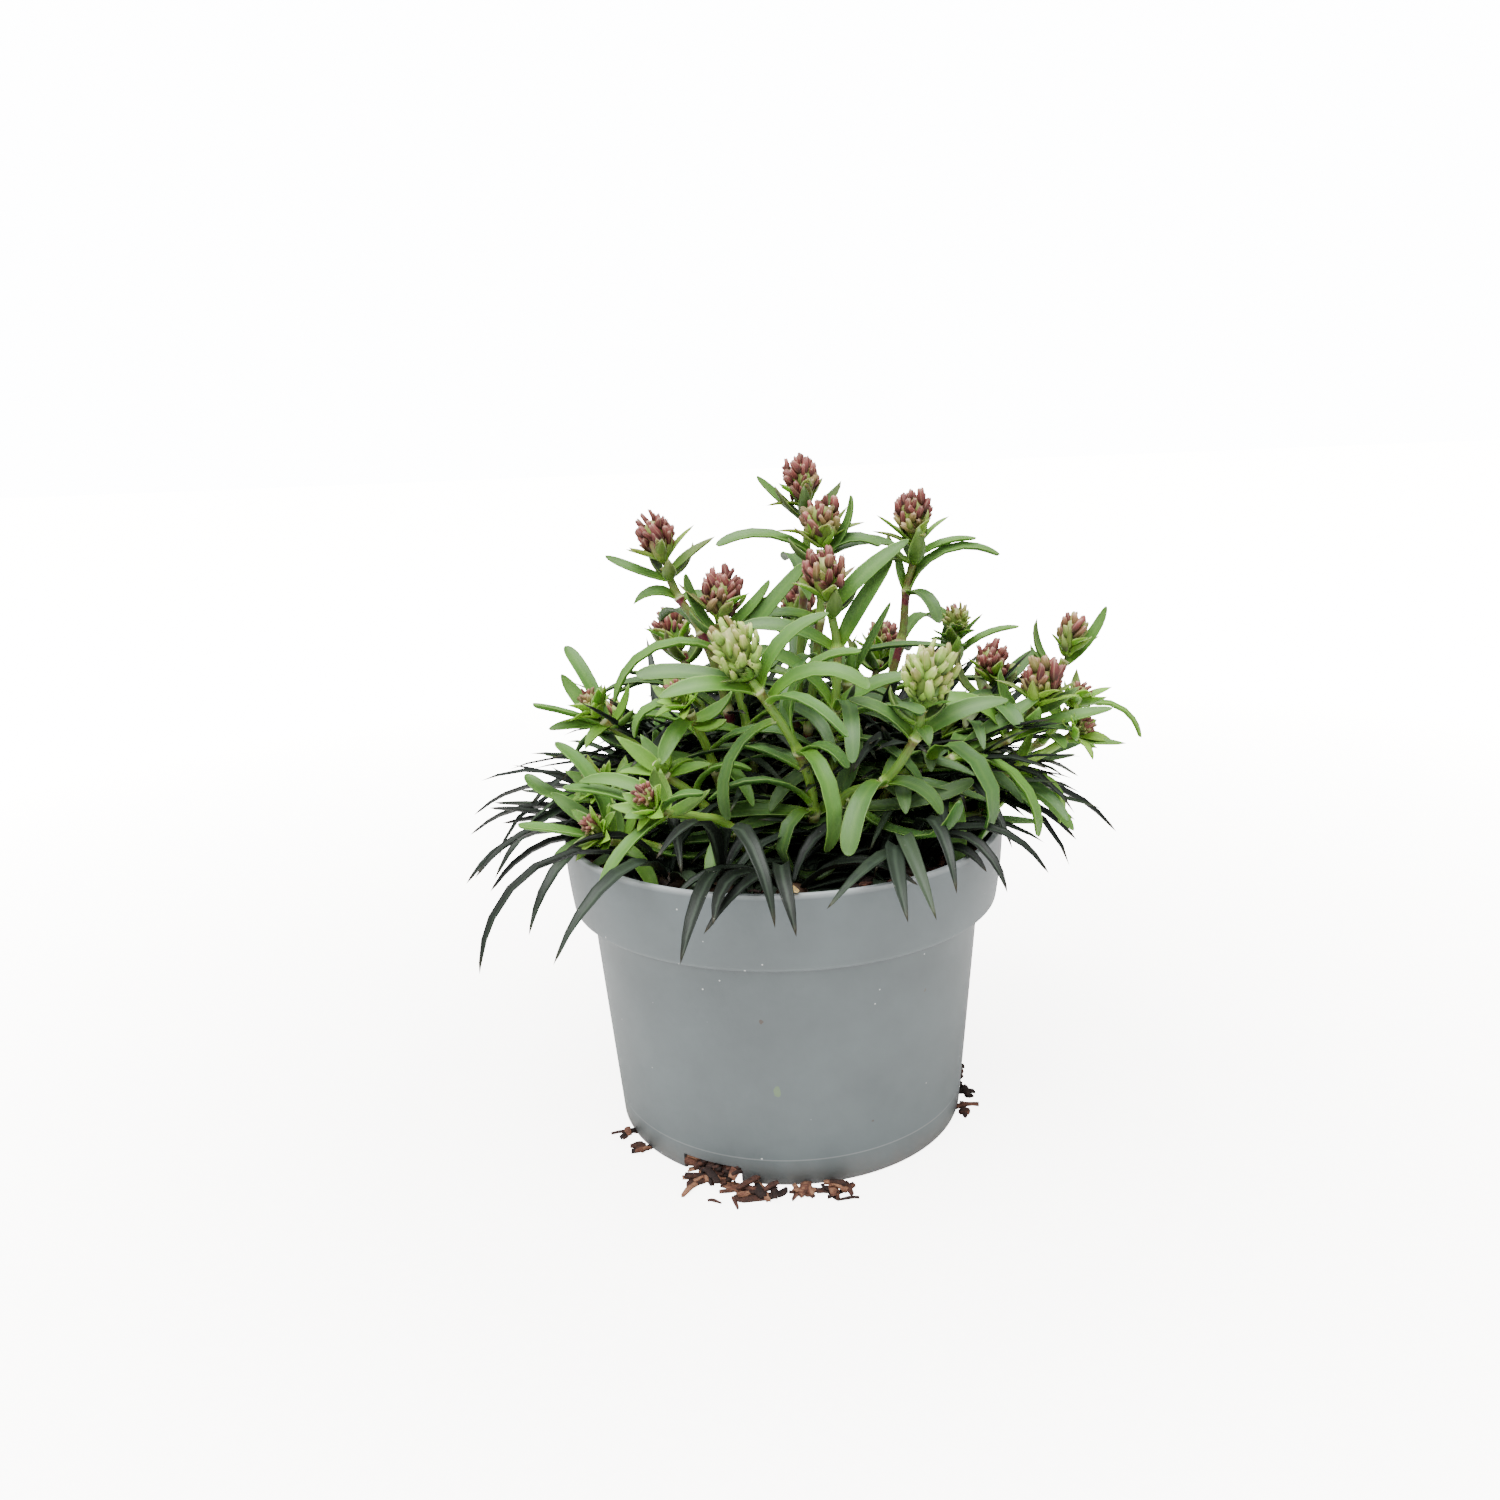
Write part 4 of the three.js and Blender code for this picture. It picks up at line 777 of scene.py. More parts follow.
# The plant's stems. A row holds a name, the points of the stem, its head and its leaves.
# The points, each x, y and z, run from the compost to the neck under the head.
# The head is x, y and z of its middle, its radius and its half height, or None where leaves end the stem.
# A leaf is the number of the stem's point that it grows from, its turn, its rise and fall (how steeply it
# leaves the stem and how steeply its tip runs, in degrees above level), its length, its width, its face (how
# far its upper side rolls towards -Y) and its sweep (how far its turn swings round on the way to the tip).
stems = (
    ("front_left", ((4, -14, 71), (9, -26, 100), (5, -30, 119), (-5, -34, 137), (-7, -34, 140)),
     (-11, -34, 149, 7.6, 9), (
        (1, 245, 47, -225, 44, 5.4, 0, -59), (1, 12, 25, 100, 32, 5.6, 30, 30), (1, 180, 8, -22, 36, 6, 30),
        (2, 289, 30, -135, 43, 5.6, 0, 14), (2, 13, 125, -10, 42, 5.2, 20, -31),
        (2.5, 178, -11, -114, 36, 4.6, 20, 48), (2.75, -12, 65, -48, 33, 6, 35), (3, 0, 85, 8, 30, 5.6, 35),
        (3, 196, 28, -25, 28, 6.2, 30), (4, 176, 30, -12, 34, 6.4, 35), (4, 120, 50, 80, 17, 5),
    )),
    ("front_right", ((9, -15, 71), (16, -27, 103), (28, -34, 111), (36, -36, 123), (38, -36, 131)),
     (40, -36, 141, 7.4, 9), (
        (1, -5, -8, 28, 38, 5.8, 30), (2, 238, 28, -80, 34, 6.6), (2, -20, 20, -75, 20, 5.4, 20),
        (3, 182, 62, 5, 22, 5.8, 30), (3, 8, 42, -4, 28, 6, 40), (3.4, 282, 20, -70, 10, 4.8),
        (4, 80, 40, 90, 18, 5.5), (4, 165, 20, 85, 13, 4.5), (4, 20, 15, 80, 13, 4.5),
        (2, 60, 40, -30, 26, 5.2),
    )),
    ("centre", ((10, -4, 71), (15, -12, 108), (16, -16, 127), (17, -14, 144), (15, -14, 157)),
     (14, -14, 166, 6.4, 6.6), (
        (2, 180, 72, 5, 32, 6, 30), (2, 2, 50, -8, 26, 6, 30), (3, 182, 42, -10, 29, 6.4, 35),
        (3, 3, 66, 48, 29, 6, 45), (4, 3, 52, 28, 29, 6, 45), (4, 20, 25, 65, 12, 4),
        (4, 278, 12, 85, 12, 4.8), (1, 215, 30, -60, 28, 5.6, 20), (1, -40, 25, -60, 30, 5.6, 20),
        (2.4, 80, 45, -35, 30, 5.4),
    )),
    ("upper", ((5, 2, 71), (9, 2, 118), (13, 3, 150), (14, 4, 170)), (14, 4, 179, 6.2, 6.8), (
        (3, 182, 55, -32, 34, 4.8, 25), (3, -3, 60, -42, 20, 5, 25), (3, 18, 40, -30, 26, 4.6, 30),
        (3, 5, 25, 78, 20, 4, 30), (3, 195, 15, 60, 13, 3.4), (2, 200, 10, -85, 20, 5, 20),
        (2, 188, 30, -50, 32, 5.2, 30), (1, 120, 40, -40, 34, 5.2), (1.5, 95, 45, -45, 34, 5.4),
        (2.2, 80, 45, -30, 28, 5),
    )),
    ("summit", ((2, 10, 71), (6, 14, 122), (9, 16, 158), (11, 16, 181)), (9, 16, 190, 6, 6.6), (
        (3, 178, 42, 44, 20, 4, 30), (3, 205, 35, 55, 15, 4.4, 30), (3, 262, 15, 88, 14, 4.6),
        (3, 0, 28, 60, 14, 4, 35), (3, 120, 30, 85, 15, 3.6), (2, 100, 50, -30, 34, 5.2),
        (2, 280, 30, -50, 16, 4.8), (1, 20, 45, -40, 36, 5.6), (1, 160, 45, -40, 36, 5.6),
        (1.4, 85, 45, -40, 34, 5.4),
    )),
    ("right_tall", ((16, 8, 71), (31, 15, 118), (38, 18, 140), (40, 20, 155), (43, 20, 167)),
     (42, 20, 178, 5.8, 8), (
        (3, -4, 76, -36, 35, 4.8, 20), (3, 172, 75, 80, 14, 4, 35), (3, 305, 25, -85, 19, 5.4),
        (4, 0, 42, -12, 20, 3.4, 25), (4, 182, 45, -80, 18, 3.8, 20), (4, 195, 25, 75, 13, 3.2, 30),
        (4, 275, 18, 88, 15, 5.4), (4, 100, 25, 80, 15, 4.4), (2, 60, 45, -40, 34, 5.2),
        (1, -10, 40, -45, 34, 5.4, 20), (1.5, 75, 45, -40, 34, 5.4),
    )),
    ("left_tall", ((-7, 6, 71), (-15, 4, 124), (-22, 6, 147), (-28, 8, 157), (-32, 10, 166)),
     (-34, 10, 176, 5.8, 6.6), (
        (3, 182, 48, -60, 16, 5.2, 30), (3, 0, 25, -62, 17, 5, 30), (4, 184, 18, 26, 20, 4.2, 35),
        (4, -2, 48, 22, 18, 3.6, 35), (4, 150, 28, 88, 14, 3.8), (4, 25, 25, 75, 13, 3),
        (4, 275, 10, 85, 9, 4.4), (2, 120, 45, -45, 32, 5.2), (1, 80, 45, -45, 34, 5.4),
        (1.5, 95, 45, -40, 34, 5.4),
    )),
    ("left_centre", ((-4, -4, 71), (-9, -4, 118), (-14, -5, 142), (-16, -4, 151)),
     (-15, -4, 160, 6.4, 7.2), (
        (3, 180, 40, 84, 21, 5, 35), (3, 205, 22, 68, 13, 3.4), (3, 90, 25, 90, 18, 4.6),
        (3, 2, 30, 58, 20, 4.4, 40), (2, 12, 48, 58, 20, 4.8, 40), (2, 180, 40, -82, 44, 5.2, 15),
        (2, -4, 50, 46, 34, 6, 45), (1, 200, 35, -45, 30, 5.6, 20), (1.4, 100, 45, -40, 32, 5.4),
    )),
    ("right_arm", ((15, -7, 71), (33, -14, 105), (49, -14, 111), (65, -12, 116), (73, -10, 124)),
     (75, -10, 133, 6.4, 6.8), (
        (2, 322, 30, -98, 41, 5.4), (2, 8, 42, 28, 31, 5.8, 40), (3, 186, 78, -20, 28, 5.6, 35),
        (3, 0, 26, 4, 31, 5, 35), (4, 168, 35, 92, 17, 4.8, 30), (4, 0, 22, 35, 16, 4.4, 30),
        (4, 290, 0, 70, 9, 4.6), (1, 270, 30, -60, 30, 5.6), (2, 80, 40, -30, 26, 5.2),
    )),
    ("right_ruby", ((20, 4, 71), (44, 4, 109), (63, 4, 128)), (63, 2, 137, 5.2, 5.6), (
        (2, 172, 25, 108, 17, 3.8, 30), (2, 90, 30, 100, 16, 3.8), (2, 8, 30, 48, 19, 5.2, 45),
        (2, -12, 12, 62, 12, 3.8, 30), (2, 228, -20, -58, 15, 4.8, 30), (1, 100, 45, -40, 30, 5.2),
        (1, 260, 40, -50, 28, 5.2),
    )),
    ("right_high", ((25, 9, 71), (58, 10, 112), (78, 9, 122), (86, 10, 134)), (88, 10, 143, 4.3, 5), (
        (3, 174, 38, 98, 18, 3.8, 30), (3, 195, 30, 68, 13, 2.6, 30), (3, -2, 36, 70, 22, 4.4, 40),
        (3, 182, 20, -50, 13, 4, 30), (2, 60, 40, -30, 22, 5), (1, 120, 45, -40, 28, 4.8),
    )),
    ("right_edge", ((25, -1, 71), (60, -3, 103), (77, -1, 112), (85, 0, 121)), (89, 0, 127, 3.8, 4.4), (
        (3, -4, 55, -78, 30, 2.8, 15), (3, 150, 50, 80, 14, 5, 40), (3, 30, 30, 45, 10, 2.2),
        (2, 285, 30, -50, 20, 5), (1, 60, 40, -40, 28, 5.4),
    )),
    ("right_low", ((22, -14, 71), (50, -12, 98), (66, -11, 106), (77, -11, 112), (84, -10, 116)),
     (88, -10, 119, 3.4, 4.2), (
        (2, -12, 22, -115, 27, 4.4, 10), (2, -22, -15, -52, 25, 5.2, 40), (2, 10, 50, 72, 14, 4.2, 35),
        (4, -6, 0, -10, 17, 3, 30), (4, -15, 20, -45, 10, 2.4), (1, 265, 25, -70, 30, 5),
    )),
    ("far_right", ((24, 20, 71), (44, 29, 108), (57, 34, 133)), (57, 34, 145, 5.6, 7), (
        (2, 192, 22, 60, 12, 3.6), (2, -2, 55, -5, 24, 3.4, 25), (2, 100, 20, 85, 14, 4.2),
        (2, 280, 20, 88, 13, 5), (1, 180, 40, -40, 28, 5.2, 20), (1, 40, 45, -40, 32, 5.2),
    )),
    ("left_high", ((-17, 3, 71), (-36, 2, 107), (-52, 0, 123)), (-56, 0, 130, 3.8, 4.6), (
        (2, 178, 40, 66, 22, 5.2, 45), (2, 186, 22, -18, 19, 4.4, 30), (2, 228, 10, -70, 12, 4.8),
        (2, 15, 45, 78, 14, 3.6, 30), (2, 330, 20, 50, 11, 4.6), (1, 120, 45, -35, 30, 5.2),
        (1, 240, 40, -40, 26, 5),
    )),
    ("left_mid", ((-11, -7, 71), (-19, -11, 110), (-25, -16, 128)), (-29, -16, 135, 4.2, 4.6), (
        (2, 182, 75, -100, 27, 4.4, 15), (2, 240, 0, -62, 20, 5.4, 30), (2, -8, 10, 60, 15, 5.6, 30),
        (2, 320, -10, 30, 13, 5.6, 30), (1, 175, 25, 0, 20, 5, 30), (1, 300, 30, -60, 26, 5),
    )),
    ("left_low", ((-17, -8, 71), (-36, -12, 98), (-51, -14, 105)), (-55, -14, 110, 3.8, 4.4), (
        (2, 174, 32, 30, 17, 4.8, 45), (2, 192, 20, 62, 13, 4.8, 40), (2, 320, 20, 70, 10, 5),
        (2, 60, 40, 60, 13, 5), (1, 130, 40, -35, 26, 4.8), (1, 200, 30, -20, 20, 5.4, 30),
    )),
    ("front_low", ((-3, -19, 71), (-14, -29, 97), (-23, -35, 103), (-33, -40, 106)),
     (-37, -41, 112, 4.4, 4.8), (
        (3, 171, 53, -22, 30, 4.4, 40, -6), (3, 150, 35, 88, 14, 4.6, 35),
        (3, -12, 20, 41, 15, 4.6, 40, -11), (3, 222, -5, -60, 29, 5), (3, 110, 45, 70, 13, 4.8),
        (1, 20, 15, -5, 22, 4.8, 35), (1, 250, 20, -70, 22, 5),
    )),
    ("left_rim", ((-18, -15, 71), (-35, -26, 91), (-48, -32, 96)), (-53, -33, 102, 4.2, 4.8), (
        (2, 174, 35, 36, 24, 5.2, 45), (2, 187, 20, -38, 20, 4.8, 30), (2, 318, -15, -68, 19, 5.2, 20),
        (2, 40, 45, 75, 12, 4.6), (2, 100, 45, 80, 12, 4.6), (1, 200, 20, -35, 22, 5.4, 20),
    )),
    ("left_leafy", ((-10, -14, 71), (-21, -20, 100), (-32, -24, 112), (-34, -25, 116)), None, (
        (2, -4, 25, 0, 14, 4.4, 35), (2, 182, 25, -15, 14, 3.8, 30), (2, 170, 42, 36, 18, 5.2, 45),
        (2, 140, 50, 48, 14, 5.2, 40), (2, 20, 62, -40, 11, 3.6), (3, 270, 30, 80, 7, 4.6),
        (3, 30, 60, 85, 6, 4), (1, 0, 18, -6, 22, 5, 40),
    )),
    ("right_rim", ((24, -8, 71), (44, -8, 89), (59, -3, 91), (63, -2, 93)), None, (
        (3, 300, 15, 70, 8, 5), (3, 0, 20, 75, 8, 5), (3, 60, 20, 80, 8, 5), (2, 60, 30, -30, 18, 5),
        (1, 130, 40, -30, 24, 4.8),
    )),
    ("centre_slim", ((17, 0, 71), (20, -6, 112), (20, -8, 133), (21, -8, 138)), None, (
        (2, 4, 62, 60, 26, 2.8, 40), (3, 175, 60, 92, 11, 3), (3, 20, 60, 85, 10, 3),
        (3, 265, 60, 92, 10, 3.2), (1, 90, 45, -30, 28, 5),
    )),
    ("back_left", ((-12, 14, 71), (-22, 26, 112), (-30, 36, 136)), (-33, 40, 144, 6, 6.8), (
        (2, 150, 30, 60, 18, 4.6), (2, 60, 25, 70, 16, 4.4), (2, 240, 20, 75, 15, 4.2),
        (2, 330, 20, 80, 14, 4), (1, 110, 55, -45, 36, 5.8), (1, 290, 45, -30, 24, 5.2),
        (1, 190, 45, -40, 34, 5.6), (1.5, 200, 40, -35, 28, 5.2),
    )),
    ("back_centre", ((2, 20, 71), (5, 34, 116), (7, 44, 142)), (8, 47, 151, 6.4, 7), (
        (2, 100, 25, 65, 18, 4.6), (2, 10, 25, 70, 16, 4.4), (2, 190, 22, 75, 16, 4.2),
        (2, 280, 20, 80, 14, 4), (1, 60, 55, -45, 36, 5.8), (1, 150, 50, -40, 34, 5.6),
        (1.5, 250, 45, -30, 26, 5.2),
    )),
    ("back_right", ((13, 21, 71), (26, 38, 108), (34, 50, 128)), (36, 53, 136, 5.8, 6.6), (
        (2, 60, 28, 55, 18, 4.6), (2, 150, 25, 70, 16, 4.4), (2, 330, 22, 70, 16, 4.2),
        (2, 240, 20, 80, 14, 4), (1, 100, 50, -45, 34, 5.8), (1, 10, 50, -40, 32, 5.6),
        (1.5, 140, 45, -35, 28, 5.2),
    )),
    ("back_low_left", ((-20, 14, 71), (-38, 28, 96), (-52, 38, 108)), (-56, 41, 115, 5.2, 5.8), (
        (2, 145, 25, 30, 19, 5.2), (2, 60, 25, 60, 15, 4.6), (2, 230, 22, 60, 15, 4.6),
        (2, 320, 25, 80, 12, 4), (1, 110, 45, -40, 32, 5.4), (1, 200, 45, -40, 32, 5.4),
    )),
    ("back_low", ((-6, 25, 71), (-8, 46, 100), (-9, 60, 112)), (-10, 65, 119, 5.4, 6), (
        (2, 100, 22, 30, 20, 5.2), (2, 10, 25, 60, 15, 4.6), (2, 190, 22, 60, 15, 4.6),
        (2, 280, 25, 80, 12, 4), (1, 60, 45, -45, 32, 5.4), (1, 140, 45, -40, 32, 5.4),
    )),
)

# Further leaves of some shoots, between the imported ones, in the same order of values.
FURTHER_LEAVES = {
    "front_left": (
        (1.7, 167, 35, -16, 25, 4.6, 0, -53), (2.75, -65, 38, -54, 35, 4.8, 0, 34),
        (1.95, -47, 57, -64, 21, 5, 0, 8), (1.1, 213, 64, -48, 36, 5, 0, -46),
        (0.7, 160, -17, 31, 28, 4.6, 0, -55),
    ),
    "front_right": ((1.2, -20, -50, 66, 47, 5.2, 0, -52),),
    "centre": (
        (2, 286, 47, -75, 38, 4.8, 0, -24), (1.9, -32, 24, -2, 44, 5, 0, -57),
        (1.5, -36, 23, -73, 34, 5, 0, 17),
    ),
    "upper": ((1.6, 251, 30, -70, 44, 5, 0, 7),),
    "left_mid": ((1.5, 124, 30, -27, 33, 5, 0, 37),),
    "left_leafy": ((1.3, -22, 87, -38, 23, 5, 0, 20),),
    "left_high": (
        (1.9, 134, 63, 35, 29, 5.6, 0, 0), (1.8, 170, 29, 16, 26, 5, 0, 57),
        (1.35, 139, -8, 38, 21, 6, 0, 6),
    ),
    "left_low": ((1.9, 165, -19, 25, 34, 6, 0, -37),),
    "front_low": (
        (3, 147, 25, -5, 30, 5.6, 0, 22), (3, -44, 66, -15, 17, 5.4, 0, 39),
        (0.75, 197, -17, 26, 30, 4.8, 0, -35),
    ),
    "left_rim": ((1.9, 123, 84, 25, 34, 5.8, 0, 41), (1.9, 176, 21, 4, 27, 5.2, 0, 7)),
    "right_ruby": ((1.2, -41, 89, -31, 29, 6.6, 0, 46), (1.6, 304, 39, -38, 30, 6, 0, -21)),
    "right_arm": ((1.6, 282, 67, -141, 54, 6.6, 0, 55), (1.2, 2, 16, -48, 40, 5.2, 0, -25)),
}
# Lower leaves, drawn at random, that fill each shoot's foot: how many there are on a shoot that stands free,
# and how far from the pot's middle they may reach.
LOWER_LEAVES, LEAF_REACH = 7, 98

# How young and yellow-green a shoot is, and how strongly it is flushed purple, from 0 to 1.
FRESH = {
    "left_high": 0.5, "left_mid": 0.6, "left_low": 0.5, "front_low": 0.5, "left_rim": 0.5,
    "left_leafy": 0.7, "right_low": 0.6, "right_edge": 0.6, "right_high": 0.3, "far_right": 0.5,
    "right_rim": 0.7, "right_arm": 0.2, "front_left": 0.15, "centre_slim": 0.2,
}
PURPLE = {
    "right_tall": 1, "left_tall": 0.9, "upper": 0.5, "centre": 0.5, "summit": 0.5, "right_ruby": 0.8,
    "front_left": 0.35, "front_right": 0.35, "left_centre": 0.4, "back_centre": 0.6, "back_left": 0.7,
    "back_right": 0.6,
}


def stem_line(points):
    """A smooth curve through the stem's points, asked for by point number."""
    points = [Vector(point) for point in points]
    last = len(points) - 1
    ghosts = [2 * points[0] - points[1], *points, 2 * points[-1] - points[-2]]

    def at(index):
        whole = min(int(index), last - 1)
        t = index - whole
        before, start, end, after = ghosts[whole:whole + 4]
        leave, arrive = (end - before) / 2, (after - start) / 2
        return (
            start + leave * t + (3 * (end - start) - 2 * leave - arrive) * t ** 2
            + (2 * (start - end) + leave + arrive) * t ** 3
        )

    return at, last


def leaf_root(points, index, turn):
    """Where a leaf leaves its stem. Bracts leave a little below the neck, each at its own height."""
    at, last = stem_line(points)
    if index < last:
        return at(index)
    drop = BRACT_DROP_LEAST + abs(sin(radians(turn * 1.5))) * BRACT_DROP_SPREAD
    return at(last) - (at(last) - at(last * 0.9999)).normalized() * drop


def add_stem(piece, points, joints, tone, purple):
    """A round stem that swells at its joints, as a grid that runs once round it."""
    bm = new_leaves()
    at, last = stem_line(points)
    tones, blushes = bm.verts.layers.float["tone"], bm.verts.layers.float["blush"]
    steps = last * 15
    made = bmesh.ops.create_grid(bm, x_segments=10, y_segments=steps, size=0.5, calc_uvs=True)["verts"]
    for vert in made:
        around = 2 * pi * (vert.co.x + 0.5)
        index = (vert.co.y + 0.5) * last
        point = at(index)
        ahead = (at(min(index + 0.01, last)) - at(max(index - 0.01, 0))).normalized()
        side = Vector((0, 1, 0)).cross(ahead).normalized()
        radius = STEM_RADIUS * (1 - 0.14 * index / last)
        flush, sheath = 0, 0
        for joint in joints:
            gap = joint - index
            radius += 0.32 * STEM_RADIUS * max(0, 1 - abs(gap) * 8)
            sheath = max(sheath, 1 - abs(gap) * 9)
            if 0.05 <= gap < 0.4:
                flush = max(flush, 1 - (gap - 0.05) / 0.35)
        vert.co = point + (side * cos(around) + ahead.cross(side) * -sin(around)) * radius
        # A tone above 1 marks the pale sheath where a pair of leaves grows together round the stem.
        vert[tones] = tone + sheath
        vert[blushes] = min(0.45 * purple ** 2 + (0.35 + 0.65 * purple) * flush, 1)
    finish_part(piece, bm, 1)


def leaf_form(row):
    if row[3] < 19:
        return BRACT_RINGS
    return STRAP_RINGS if row[3] > 33 or abs(row[2] - row[1]) > 90 else SHORT_RINGS


# Fleshy green leaves: a matt, slightly waxy mid green that turns grey in the light, yellower towards the
# base and along the pale midrib, thinly edged in pale green, with faint length-wise veins.
green_leaf, tree, shader = finish_of(
    "fleshy_green_leaf", "#4c6b30", Roughness=0.5, IOR=1.38, Subsurface_Weight=0.2,
    Subsurface_Scale=0.0015, Subsurface_Radius=(0.6, 1.0, 0.25),
)
place, along, around, outward, shade, blush = read_plant(tree)
mottle = node(tree, "TexNoise", {"Scale": 1 / 0.009, "Detail": 3}, {"Vector": place})
shade_mix = node(tree, "Math", {"operation": "MULTIPLY_ADD", 1: 0.25, 2: -0.12}, {0: mottle})
shade_sum = node(tree, "Math", {"operation": "ADD"}, {0: shade_mix, 1: shade})
skin = node(
    tree, "ValToRGB",
    {"stops": ((0.0, "#193312"), (0.3, "#31591c"), (0.6, "#4f7f25"), (1.0, "#78a92c"))}, {0: shade_sum},
)
from_rib = off_keel(tree, around, 2)
rib = node(
    tree, "MapRange", {"From Min": 0.01, "From Max": 0.1, "To Min": 0.1, "To Max": 0.0},
    {"Value": from_rib},
)
rib_fades = node(
    tree, "MapRange", {"From Min": 0.45, "From Max": 0.9, "To Min": 1.0, "To Max": 0.15}, {"Value": outward},
)
rib_mask = node(tree, "Math", {"operation": "MULTIPLY"}, {0: rib, 1: rib_fades})
# The wax lies on the upper side alone, which is the first half of the way round a blade.
is_under = node(tree, "Math", {"operation": "GREATER_THAN", 1: 0.5}, {0: around})
wax_far = node(tree, "MapRange", {"From Min": 0.15, "From Max": 0.6, "To Max": 0.5}, {"Value": outward})
wax_age = node(
    tree, "MapRange", {"From Min": 0.3, "From Max": 0.9, "To Min": 1.0, "To Max": 0.15}, {"Value": shade},
)
wax_out = node(tree, "Math", {"operation": "MULTIPLY"}, {0: wax_far, 1: wax_age})
no_wax = node(tree, "Math", {"operation": "MULTIPLY"}, {0: wax_out, 1: is_under})
wax_mask = node(tree, "Math", {"operation": "SUBTRACT"}, {0: wax_out, 1: no_wax})
edge = node(tree, "MapRange", {"From Min": 0.42, "From Max": 0.5, "To Max": 0.5}, {"Value": from_rib})
base = node(
    tree, "MapRange", {"From Min": 0.05, "From Max": 0.38, "To Min": 0.8, "To Max": 0.0},
    {"Value": outward},
)
pale_foot = node(
    tree, "MapRange", {"From Min": 0.05, "From Max": 0.16, "To Min": 0.7, "To Max": 0.0},
    {"Value": outward},
)
flushed = node(tree, "Math", {"operation": "MULTIPLY"}, {0: blush, 1: outward})
for colour, mask in (
    ("#557643", wax_mask), ("#8aad50", rib_mask), ("#93ae5e", edge), ("#6d9c26", base),
    ("#cfd0a4", pale_foot), ("#7b4a48", flushed),
):
    skin = node(tree, "Mix", {"data_type": "RGBA", 7: linear(colour)}, {0: mask, 6: skin}, 2)
vein_place = node(tree, "Mapping", {"Scale": (44, 1.5, 1)}, {"Vector": along})
vein = node(tree, "TexNoise", {"Scale": 1.0, "Detail": 3}, {"Vector": vein_place})
dress(tree, shader, skin, vein, 0.3)

# A juicy green stem: yellow-green and smooth, striped faintly along its length, and flushed plum purple
# below the joints where the light has reached it.
green_stem, tree, shader = finish_of(
    "juicy_green_stem", "#8fae5a", Roughness=0.42, IOR=1.4, Subsurface_Weight=0.15, Subsurface_Scale=0.0015,
)
place, along, _, _, shade, blush = read_plant(tree)
stripe_place = node(tree, "Mapping", {"Scale": (18, 2, 1)}, {"Vector": along})
stripe = node(tree, "TexNoise", {"Scale": 1.0, "Detail": 4}, {"Vector": stripe_place})
shade_mix = node(tree, "Math", {"operation": "MULTIPLY_ADD", 1: 0.6}, {0: stripe, 2: shade})
skin = node(
    tree, "ValToRGB",
    {"stops": ((0.25, "#41632a"), (0.6, "#628a30"), (1.0, "#86ab44"))}, {0: shade_mix},
)
patches = node(tree, "TexNoise", {"Scale": 1 / 0.002, "Detail": 3}, {"Vector": place})
patch_mask = node(tree, "MapRange", {"From Min": 0.3, "From Max": 0.6}, {"Value": patches})
flush_some = node(tree, "Math", {"operation": "MULTIPLY"}, {0: blush, 1: patch_mask})
flush_top = node(tree, "Math", {"operation": "MULTIPLY_ADD", 1: 0.45}, {0: blush, 2: flush_some})
sheath = node(tree, "MapRange", {"From Min": 0.85, "From Max": 1.3, "To Max": 0.75}, {"Value": shade})
for colour, mask in (("#5a2228", flush_top), ("#cfcba0", sheath)):
    skin = node(tree, "Mix", {"data_type": "RGBA", 7: linear(colour)}, {0: mask, 6: skin}, 2)
dress(tree, shader, skin, stripe, 0.25)

for name, points, head, leaves in stems:
    random.seed("shoot " + name)
    fresh = FRESH.get(name, 0)
    purple = PURPLE.get(name, 0.25)
    corners = corners_of("stem_" + name)
    last = len(points) - 1
    bm = new_leaves()
    joints = sorted({leaf[0] for leaf in leaves if leaf[0] in range(1, last + 1)})
    add_stem(bm, points, joints, 0.25 + 0.4 * fresh, purple)
    for index, *row in leaves:
        root = leaf_root(points, index, row[0])
        grown = as_grown(root, row, corners)
        if grown is None:
            continue
        is_bract = index == last and grown[3] < 19
        # Leaves low on the stem keep a darker tone: painted shade under the canopy.
        lift_above_painted_shade = 0.22 if index >= 2 else 0
        tone = clamp(0.12 + lift_above_painted_shade + 0.45 * fresh + random.uniform(-0.12, 0.2))
        if not is_bract:
            grown[4] *= SLIMNESS
        blush = random.uniform(0.1, 0.7) * purple if is_bract else 0.05
        add_blade(
            bm, root, grown, leaf_form(row), LEAF_GUTTER * row[4], LEAF_KEEL, tone, blush,
            columns=12, twist=0.12, soft=True,
        )
    at = stem_line(points)[0]
    for index, *row in FURTHER_LEAVES.get(name, ()):
        row[4] *= SLIMNESS
        tone = 0.2 + 0.45 * fresh + random.uniform(-0.1, 0.15)
        add_blade(
            bm, at(index), row, STRAP_RINGS, LEAF_GUTTER * row[4], LEAF_KEEL, tone,
            columns=12, twist=0.1, soft=True,
        )
    for i in range(LOWER_LEAVES):
        index = random.uniform(0.3, 1.3)
        turn = i * 137.5 + random.uniform(-25, 25)
        row = [
            turn, random.uniform(10, 65), random.uniform(-70, 10), random.uniform(32, 52),
            random.uniform(3.6, 4.6), random.uniform(0, 25), random.uniform(-60, 60),
        ]
        # The lower leaves take a low, dark tone: painted shade under the canopy.
        tone = clamp(0.35 * fresh + random.uniform(-0.05, 0.16))
        if clears_pot(at(index), row, LEAF_REACH) and keeps_behind(at(index), row, FRONT_LEAVES_AT):
            add_blade(
                bm, at(index), row, SHORT_RINGS, LEAF_GUTTER * row[4], LEAF_KEEL, tone,
                columns=8, twist=0.15, soft=True,
            )
    set_down("shoot_" + name, bm, [green_leaf, green_stem], "green_shoot", "stem_" + name)


# The bud heads
# A tight head of pointed buds stands on each ripe stem. Every bud is wrapped in its own scales, green at the
# base and rose to brown at the tip, and the youngest heads are still green all over.

